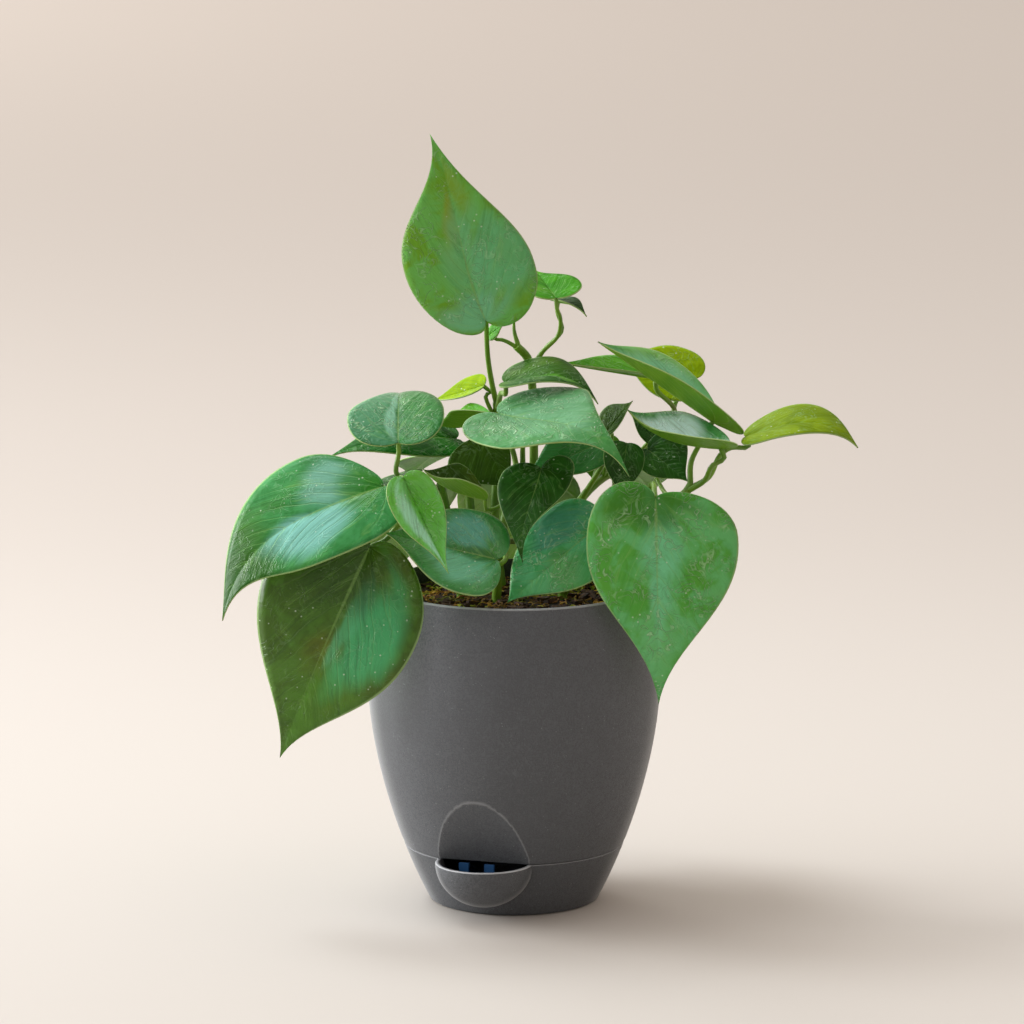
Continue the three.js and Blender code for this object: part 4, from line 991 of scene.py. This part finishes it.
def add_reservoir(settings):
    """The saucer under the seam, pushed out and in to the round cup at the front."""
    outer = wall_points(FOOT_ROUND / 2, SEAM_HEIGHT - EDGE_ROUND, CUP_ROWS)
    inner = wall_points(SEAM_HEIGHT - EDGE_ROUND, WALL + FOOT_ROUND, CUP_ROWS, WALL)
    profile = [(0, 0), (FOOT_RADIUS - FOOT_ROUND, 0), (FOOT_RADIUS - FOOT_EDGE[0], FOOT_EDGE[1])]
    profile += outer + rim_points(SEAM_HEIGHT, EDGE_ROUND) + inner[1:]
    profile += [(FOOT_RADIUS - WALL, WALL), (0, WALL)]
    bm, painted_highlight = spun(profile, CUP_ARCS, settings.around)
    for vert in bm.verts:
        place = vert.co / MM
        away = math.hypot(place.x, place.y)
        side = side_radius(place.z)
        if place.z < 1 or away < side - WALL - 0.05:
            continue
        part = min(max((side - away) / WALL, 0), 1)
        out = soft_max(side, ball_reach(place.x, place.y, place.z, 0), CUP_SOFTNESS)
        into = soft_max(side - WALL, ball_reach(place.x, place.y, place.z, CUP_WALL), CUP_SOFTNESS)
        reach = lerp(out, into, part)
        # A painted highlight along the saucer's top edge, stronger on the cup's lip
        if place.z > SEAM_HEIGHT - EDGE_ROUND * 0.8 and part < 0.3:
            vert[painted_highlight] = CUP_HIGHLIGHT if reach > side + 1 else SEAM_HIGHLIGHT
        vert.co.x *= reach / away
        vert.co.y *= reach / away
    material = pot_material("Speckled Grey Saucer", settings.pot_colour, settings.speck_and_sheen_colour, 0.92)
    return piece(bm, "saucer_shell", [material], ["reservoir_saucer"])


def outline_at(s, lobe, widest, full, tuck):
    """Half outline of a heart-shaped blade: across in half widths, along in lengths."""
    if s < SHOULDER_SHARE:
        corner = lerp(-LOBE_CORNER * lobe, widest, tuck)
        return cubic((0, 0), (NOTCH_PULL[0], NOTCH_PULL[1] * lobe), (1, corner), (1, widest),
                     s / SHOULDER_SHARE)
    return cubic((1, widest), (FLANK_PULL[0], FLANK_PULL[1] + full), (TIP_PULL[0], TIP_PULL[1] + full),
                 (0, 1), (s - SHOULDER_SHARE) / (1 - SHOULDER_SHARE))


def half_shapes(leaf):
    """The outline values of a leaf's left and right half."""
    standard = {"lobes": (0.6, 0.6), "widest": (WIDEST, WIDEST), "full": (0, 0), "tuck": (0, 0)}
    return list(zip(*(leaf.get(key, value) for key, value in standard.items())))


class Midrib:
    """A blade's midrib curve, with the level direction across it."""

    def __init__(self, leaf):
        base, tip = Vector(leaf["base"]), Vector(leaf["tip"])
        self.length = (tip - base).length
        chord = (tip - base).normalized()
        self.across = chord.cross(Vector(leaf["face"])).normalized()
        up = self.across.cross(chord)
        bends, sways = leaf.get("bend", (0, 0)), leaf.get("sway", (0, 0))
        leans = leaf.get("lean", (1 / 3, 2 / 3))
        pulls = [base + chord * lean * self.length + up * bend * self.length
                 + self.across * sway * self.length for lean, bend, sway in zip(leans, bends, sways)]
        self.points = (base, *pulls, tip)

    def point(self, t):
        return Vector(cubic(*self.points, t))

    def tangent(self, t):
        p0, p1, p2, p3 = self.points
        u = 1 - t
        return ((p1 - p0) * u * u + (p2 - p1) * 2 * u * t + (p3 - p2) * t * t).normalized()


def blade_surface(leaf):
    """The blade's middle surface: across in signed half widths, along in lengths, lifted in mm."""
    midrib = Midrib(leaf)
    folds = [math.radians(f) for f in leaf.get("fold", (0, 0))]
    curls = leaf.get("curl", (0, 0))

    def surface(x, y, lift=0.0):
        at = min(max(y, 0), 1)
        along = midrib.tangent(at)
        place = midrib.point(at) + along * (y - at) * midrib.length
        right = (midrib.across - along * midrib.across.dot(along)).normalized()
        over = right.cross(along)
        side = 0 if x < 0 else 1
        half = leaf["half"][side]
        out = abs(x) * half
        rise = out * math.sin(folds[side]) + curls[side] * half * x * x
        return place + right * math.copysign(out * math.cos(folds[side]), x) + over * (rise + lift)

    return surface


def vein_phase(x, y):
    """Which side vein a point of the blade is on: veins fan from the notch, then leave the midrib."""
    x = max(abs(x), 0.02)
    rest = y - VEIN_CURVE * x * x
    if rest >= VEIN_SLOPE * x:
        return rest - VEIN_SLOPE * x
    return max((rest / x - VEIN_SLOPE) / VEIN_FAN, -1)


def add_leaf(name, leaf, materials, settings):
    """A thin heart-shaped blade with a grooved midrib, a slightly waved edge and a fine tip."""
    rows, columns = settings.rows, settings.columns
    bm = bmesh.new()
    bmesh.ops.create_grid(bm, x_segments=2 * columns, y_segments=rows, size=1)
    blade_uv = bm.loops.layers.uv.new("blade")
    nerve_uv = bm.loops.layers.uv.new("nerves")
    surface = blade_surface(leaf)
    shapes = half_shapes(leaf)
    seed = sum(ord(letter) for letter in name)
    small = min(leaf["half"]) / USUAL_HALF
    # No blade comes further forward than the frame
    front_limit = BOUNDS_BEFORE[0][1] + BLADE_THICKNESS / 2 * MM
    known = {}
    for vert in bm.verts:
        out = math.copysign(abs(vert.co.x) ** COLUMN_SPREAD, vert.co.x)
        s = (vert.co.y + 1) / 2
        side = 0 if out < 0 else 1
        edge = outline_at(s, *shapes[side])
        along = lerp(s ** RIB_EASE, edge[1], abs(out))
        x = out * edge[0]
        fade = 1 - along * along
        groove = -settings.groove / MM * math.exp(-(x / GROOVE_WIDTH) ** 2) * fade
        puff = PUFF * small * math.sin(math.pi * min(abs(out), 1)) * edge[0]
        wave = WAVE * small * abs(out) ** 3 * edge[0] * math.sin(WAVES * along + seed + side)
        known[vert.index] = (out, along, vein_phase(x, along), x)
        vert.co = surface(x, along, groove + puff + wave) * MM
        vert.co.y = max(vert.co.y, front_limit)
    for face in bm.faces:
        for loop in face.loops:
            out, along, phase, x = known[loop.vert.index]
            loop[blade_uv].uv = (0.5 + 0.5 * out, along)
            loop[nerve_uv].uv = (phase, abs(x))
    bmesh.ops.remove_doubles(bm, verts=bm.verts, dist=SAME_POINT * MM)
    blade = name.replace("leaf_", "") + "_blade"
    made = piece(bm, blade, materials, [name], 80)
    shell = made.modifiers.new("Blade Thickness", "SOLIDIFY")
    shell.thickness = BLADE_SHELL * MM
    shell.offset = 0
    shell.material_offset = 1
    shell.material_offset_rim = 2
    return made


class Path:
    """A smooth curve through points, as a stem grows."""

    def __init__(self, points):
        self.points = [Vector(p) for p in points]
        self.table = [0.0]
        before = self.at(0)
        for i in range(1, CURVE_SAMPLES + 1):
            here = self.at(i / CURVE_SAMPLES)
            self.table.append(self.table[-1] + (here - before).length)
            before = here

    def at(self, t):
        """The point at a share of the spans, on cubic spans that don't overshoot."""
        points = self.points
        last = len(points) - 1
        place = min(last * t, last)
        i = min(int(place), last - 1)
        w = place - i
        p1, p2 = points[i], points[i + 1]
        p0 = points[i - 1] if i > 0 else p1 * 2 - p2
        p3 = points[i + 2] if i + 2 <= last else p2 * 2 - p1
        d0, d1, d2 = ((b - a).length ** 0.5 for a, b in ((p0, p1), (p1, p2), (p2, p3)))
        d1 = d1 if d1 > 1e-4 else 1
        d0 = d0 if d0 > 1e-4 else d1
        d2 = d2 if d2 > 1e-4 else d1
        t1 = ((p1 - p0) / d0 - (p2 - p0) / (d0 + d1) + (p2 - p1) / d1) * d1
        t2 = ((p2 - p1) / d1 - (p3 - p1) / (d1 + d2) + (p3 - p2) / d2) * d1
        return (p1 + t1 * w + (p2 * 3 - p1 * 3 - t1 * 2 - t2) * w * w
                + (p1 * 2 - p2 * 2 + t1 + t2) * w * w * w)

    def share(self, u):
        """The point at a share of the curve's length."""
        wanted = u * self.table[-1]
        low = 0
        while low < CURVE_SAMPLES - 1 and self.table[low + 1] < wanted:
            low += 1
        span = self.table[low + 1] - self.table[low]
        return self.at((low + (wanted - self.table[low]) / (span or 1)) / CURVE_SAMPLES)

    def places(self):
        """Places spaced evenly along the curve, one for each ring of faces."""
        steps = max(6, int(self.table[-1] / RING_SPACING))
        return [self.share(i / steps) for i in range(steps + 1)]


def grow(bm, places, radius_at, sides=10):
    """Extrudes a round end through places in turn; radius_at gives the radius at a share of them."""
    steps = len(places) - 1
    ways = [(places[min(i + 1, steps)] - places[max(i - 1, 0)]).normalized() for i in range(steps + 1)]
    side = ways[0].orthogonal().normalized()
    frames = []
    for i, (place, way) in enumerate(zip(places, ways)):
        side = (side - way * side.dot(way)).normalized()
        other = way.cross(side)
        radius = radius_at(i / steps)
        turned = Matrix((side * radius, other * radius, way)).transposed().to_4x4()
        frames.append(Matrix.Translation(place * MM) @ Matrix.Scale(MM, 4) @ turned)
    ring = bmesh.ops.create_circle(bm, cap_ends=True, segments=sides, radius=1, matrix=frames[0])
    face = ring["verts"][0].link_faces[0]
    for i, (before, here) in enumerate(zip(frames, frames[1:])):
        grown = bmesh.ops.extrude_face_region(bm, geom=[face])
        if i > 0:
            bmesh.ops.delete(bm, geom=[face], context="FACES_ONLY")
        face = next(g for g in grown["geom"] if isinstance(g, bmesh.types.BMFace))
        bmesh.ops.transform(bm, matrix=here @ before.inverted(), verts=list(face.verts))


def add_vine(name, vine, material):
    """A stem that stands in the soil, with the petioles of its leaves."""
    bm = bmesh.new()
    x, y = vine["stands"]
    top = SOIL_CENTRE_HEIGHT + 2
    stem = Path([(x, y, top), *vine["route"]])
    foot = Path([(x, y, SOIL_EDGE_HEIGHT - HOLE_DEPTH + FOOT_GAP), (x, y, top + 1)])
    grow(bm, foot.places(), lambda u: STEM_RADIUS, STEM_SIDES)
    grow(bm, stem.places(), lambda u: STEM_RADIUS * (1 - STEM_TAPER * u), STEM_SIDES)
    for leaf in vine["leaves"].values():
        midrib = Midrib(leaf)
        along = midrib.tangent(0)
        up = midrib.across.cross(along).normalized()
        end = midrib.point(0) - up * PETIOLE_END
        before = midrib.point(0) - up * (BLADE_THICKNESS / 2 + PETIOLE_GAP + PETIOLE_RISE) - along
        path = Path([stem.share(leaf["joins"]), *leaf.get("via", ()), before, end])
        radius = leaf.get("petiole", PETIOLE_RADIUS) * PETIOLE_SHARE
        grow(bm, path.places(), lambda u: radius * (1.12 - 0.3 * u + 0.16 * u ** 8))
    for shoot in vine.get("shoots", ()):
        path = Path([stem.share(shoot["joins"]), *shoot["by"]])
        grow(bm, path.places(), lambda u: PETIOLE_RADIUS * (1 - SHOOT_TAPER * u))
    bmesh.ops.recalc_face_normals(bm, faces=bm.faces)
    return piece(bm, name + "_stems", [material], [name])


def soil_height(x, y):
    """Height of the soil's top at a place, in millimetres."""
    out = math.hypot(x, y) / SOIL_RADIUS
    return lerp(SOIL_CENTRE_HEIGHT, SOIL_EDGE_HEIGHT, out * out)


def scattered(random_draw, limit):
    """A place on the soil, clear of its edge."""
    radius = limit * math.sqrt(random_draw.random())
    angle = random_draw.uniform(0, 2 * math.pi)
    return radius * math.cos(angle), radius * math.sin(angle)


def add_bark(settings):
    """Rough chips of bark that lie in the soil's top."""
    draw = random.Random(5)
    bm = bmesh.new()
    for _ in range(settings.chips):
        x, y = scattered(draw, SOIL_RADIUS - 5)
        size = Vector([draw.uniform(*limits) for limits in BARK_SIZES])
        turn = Matrix.Rotation(draw.uniform(0, math.pi), 4, "Z")
        turn = turn @ Matrix.Rotation(draw.uniform(-0.4, 0.4), 4, "X")
        place = Matrix.Translation(Vector((x, y, soil_height(x, y) + size.z * 0.3)) * MM)
        cube = bmesh.ops.create_cube(bm, size=1, matrix=place @ turn @ Matrix.Diagonal((*(size * MM), 1)))
        for vert in cube["verts"]:
            vert.co += Vector([draw.uniform(-0.5, 0.5) * MM for _ in range(3)])
    return piece(bm, "bark_chips", [bark_material()], [], 20)


def strand_places(draw, wave):
    """The places that one curled strand of moss passes through."""
    x, y = scattered(draw, SOIL_RADIUS - 4)
    heading = draw.uniform(0, 2 * math.pi)
    turn = draw.uniform(-0.9, 0.9)
    rise = draw.uniform(0.2, 1.6)
    radius = draw.uniform(0.26, 0.5)
    steps = draw.randint(5, 8)
    places = []
    for i in range(steps + 1):
        share = i / steps
        lift = rise * math.sin(math.pi * share) + 0.35 * math.sin(5 * share + wave)
        places.append(Vector((x, y, soil_height(x, y) + 0.3 + lift)))
        x += STRAND_STEP * math.cos(heading)
        y += STRAND_STEP * math.sin(heading)
        heading += turn + draw.uniform(-0.3, 0.3)
        if math.hypot(x, y) > SOIL_RADIUS - 2.5:
            heading += math.pi / 2
            x *= 0.97
            y *= 0.97
    return places, radius


def add_moss(settings):
    """Curled strands of moss and root fibre that lie on the soil."""
    draw = random.Random(9)
    mesh = bpy.data.meshes.new("one_strand")
    bm = bmesh.new()
    for strand in range(settings.moss):
        places, radius = strand_places(draw, strand)
        one = bmesh.new()
        grow(one, places, lambda u: radius * (0.35 + 0.65 * math.sin(math.pi * min(u + 0.15, 1))),
             STRAND_SIDES)
        one.to_mesh(mesh)
        one.free()
        bm.from_mesh(mesh)
    bpy.data.meshes.remove(mesh)
    bmesh.ops.recalc_face_normals(bm, faces=bm.faces)
    return piece(bm, "moss_strands", [moss_material()], [], 60)


# Stage

def room_light(tree, strength):
    """Warm even light, brighter above and behind and cooler on the left, as in a pale room."""
    nodes = Nodes(tree)
    background = tree.nodes["Background"]
    place = tree.nodes.new("ShaderNodeTexCoord").outputs["Generated"]

    def slope(way, low, high, to_low, to_high):
        """A value that changes along a direction."""
        along = tree.nodes.new("ShaderNodeVectorMath")
        along.operation = "DOT_PRODUCT"
        nodes.put(along.inputs[0], place)
        nodes.put(along.inputs[1], way)
        return nodes.ramp(along.outputs["Value"], low, high, to_low, to_high)

    behind = slope((-0.2, 0.9, 0.25), -0.8, 0.9, 0.58, 1.22)
    left = slope((-0.85, 0.45, 0.15), 0.3, 0.95, 0.0, 1.25)
    nodes.put(background.inputs["Strength"], nodes.times(nodes.plus(behind, left), strength))
    tint = nodes.mix(slope((-1.0, 0.0, 0.0), -0.1, 0.5, 0.0, 1.0), WARM_AIR, COOL_AIR)
    nodes.put(background.inputs["Color"], tint)


def add_floor(settings):
    """A plain pale floor, a little darker far behind the plant."""
    paint = Paint("Pale Floor")
    split = paint.node("ShaderNodeSeparateXYZ", Vector=paint.place())
    far = [c * share for c, share in zip(settings.floor_colour, FAR_FLOOR)] + [1]
    tone = paint.mix(paint.ramp(split.outputs["Y"], 0.1, 1.1), list(settings.floor_colour), far)
    paint.set(Base_Color=tone, Roughness=0.8)
    bm = bmesh.new()
    bmesh.ops.create_grid(bm, x_segments=1, y_segments=1, size=FLOOR_HALF)
    floor = placed("floor", mesh_from(bm, "floor", [paint.material]))


def add_lights(scene, settings):
    """The room's even light, a soft sun through the window, and three soft panels."""
    world = bpy.data.worlds.new("Pale Room")
    world.use_nodes = True
    room_light(world.node_tree, settings.air)
    scene.world = world
    sun = bpy.data.lights.new("window_light", "SUN")
    sun.energy = settings.window_strength
    sun.angle = math.radians(SUN_SPREAD)
    sun.color = SUN_TINT
    made = placed("window_light", sun)
    made.rotation_euler = Vector(SUN_WAY).to_track_quat("-Z", "Y").to_euler()
    powers = (settings.panel_power, settings.back_power, settings.top_power)
    for (name, (place, target, size, tint)), power in zip(PANELS.items(), powers):
        light = bpy.data.lights.new(name, "AREA")
        light.shape = "RECTANGLE"
        light.size, light.size_y = size
        light.energy = power
        light.color = tint
        made = placed(name, light, place)
        way = Vector(target) - Vector(place)
        made.rotation_euler = way.to_track_quat("-Z", "Y").to_euler()


def add_camera(scene):
    """The camera, with the photograph's height and downward angle."""
    camera = bpy.data.cameras.new("camera")
    camera.lens = CAMERA_LENS
    camera.sensor_width = CAMERA_SENSOR
    made = placed("camera", camera, CAMERA_PLACE)
    made.rotation_euler = (math.radians(90 - CAMERA_DOWN), 0, 0)
    scene.camera = made
    scene.view_settings.view_transform = "Standard"


# Operators

class PLANT_OT_add_pot(bpy.types.Operator):
    """Add the pot, with its filling recess"""
    bl_idname = "plant.add_pot"
    bl_label = "Add Pot"

    def execute(self, context):
        add_pot(context.scene.heartleaf_pot)
        return {"FINISHED"}


class PLANT_OT_add_reservoir(bpy.types.Operator):
    """Add the reservoir saucer, with its filling cup"""
    bl_idname = "plant.add_reservoir"
    bl_label = "Add Reservoir"

    def execute(self, context):
        add_reservoir(context.scene.heartleaf_pot)
        return {"FINISHED"}


class PLANT_OT_finish_insert(bpy.types.Operator):
    """Give the water insert its blue plastic"""
    bl_idname = "plant.finish_insert"
    bl_label = "Finish Insert"

    def execute(self, context):
        insert = refinish("water_insert", insert_material(context.scene.heartleaf_pot))
        return {"FINISHED"}


class PLANT_OT_add_soil(bpy.types.Operator):
    """Finish the soil and scatter bark chips and moss on it"""
    bl_idname = "plant.add_soil"
    bl_label = "Add Soil"

    def execute(self, context):
        settings = context.scene.heartleaf_plant
        soil = refinish("soil", soil_material())
        add_bark(settings)
        add_moss(settings)
        return {"FINISHED"}


class PLANT_OT_add_stems(bpy.types.Operator):
    """Add the vines' stems and petioles"""
    bl_idname = "plant.add_stems"
    bl_label = "Add Stems"

    def execute(self, context):
        material = stem_material(context.scene.heartleaf_plant)
        for name, vine in VINES.items():
            add_vine(name, vine, material)
        return {"FINISHED"}


class PLANT_OT_add_leaves(bpy.types.Operator):
    """Add the heart-shaped leaves"""
    bl_idname = "plant.add_leaves"
    bl_label = "Add Leaves"

    def execute(self, context):
        settings = context.scene.heartleaf_plant
        under = leaf_under_material(settings)
        margin_highlight = leaf_edge_highlight_material(settings)
        tops = {kind: leaf_top_material(kind.title() + " Leaf", look, settings)
                for kind, look in LOOKS.items()}
        for vine in VINES.values():
            for name, leaf in vine["leaves"].items():
                top = tops[leaf["colour"]]
                if name in LEAF_LOOKS:
                    look = {**LOOKS[leaf["colour"]], **LEAF_LOOKS[name]}
                    top = leaf_top_material(name.replace("_", " ").title(), look, settings)
                add_leaf(name, leaf, [top, under, margin_highlight], settings)
        return {"FINISHED"}


class PLANT_OT_add_stage(bpy.types.Operator):
    """Add the plain floor, the soft lights and the camera"""
    bl_idname = "plant.add_stage"
    bl_label = "Add Stage"

    def execute(self, context):
        settings = context.scene.heartleaf_stage
        add_floor(settings)
        add_lights(context.scene, settings)
        add_camera(context.scene)
        return {"FINISHED"}


class PLANT_PT_sidebar(bpy.types.Panel):
    """Lists the steps that build the plant"""
    bl_label = "Heartleaf Philodendron"
    bl_idname = "PLANT_PT_sidebar"
    bl_space_type = "VIEW_3D"
    bl_region_type = "UI"
    bl_category = "Plant"

    def draw(self, context):
        for group in (context.scene.heartleaf_pot, context.scene.heartleaf_plant,
                      context.scene.heartleaf_stage):
            for name in group.__annotations__:
                self.layout.prop(group, name)
        for step in STEPS:
            self.layout.operator(step.bl_idname)


GROUPS = {
    "heartleaf_pot": PotSettings,
    "heartleaf_plant": PlantSettings,
    "heartleaf_stage": StageSettings,
}
STEPS = (
    PLANT_OT_add_pot,
    PLANT_OT_add_reservoir,
    PLANT_OT_finish_insert,
    PLANT_OT_add_soil,
    PLANT_OT_add_stems,
    PLANT_OT_add_leaves,
    PLANT_OT_add_stage,
)


def register():
    for group in GROUPS.values():
        bpy.utils.register_class(group)
    for name, group in GROUPS.items():
        setattr(bpy.types.Scene, name, bpy.props.PointerProperty(type=group))
    for step in STEPS:
        bpy.utils.register_class(step)
    bpy.utils.register_class(PLANT_PT_sidebar)


def unregister():
    bpy.utils.unregister_class(PLANT_PT_sidebar)
    for step in reversed(STEPS):
        bpy.utils.unregister_class(step)
    for name, group in GROUPS.items():
        delattr(bpy.types.Scene, name)
        bpy.utils.unregister_class(group)


def main():
    register()
    bpy.ops.plant.add_pot()
    bpy.ops.plant.add_reservoir()
    bpy.ops.plant.finish_insert()
    bpy.ops.plant.add_soil()
    bpy.ops.plant.add_stems()
    bpy.ops.plant.add_leaves()
    bpy.ops.plant.add_stage()


if __name__ == "__main__":
    main()
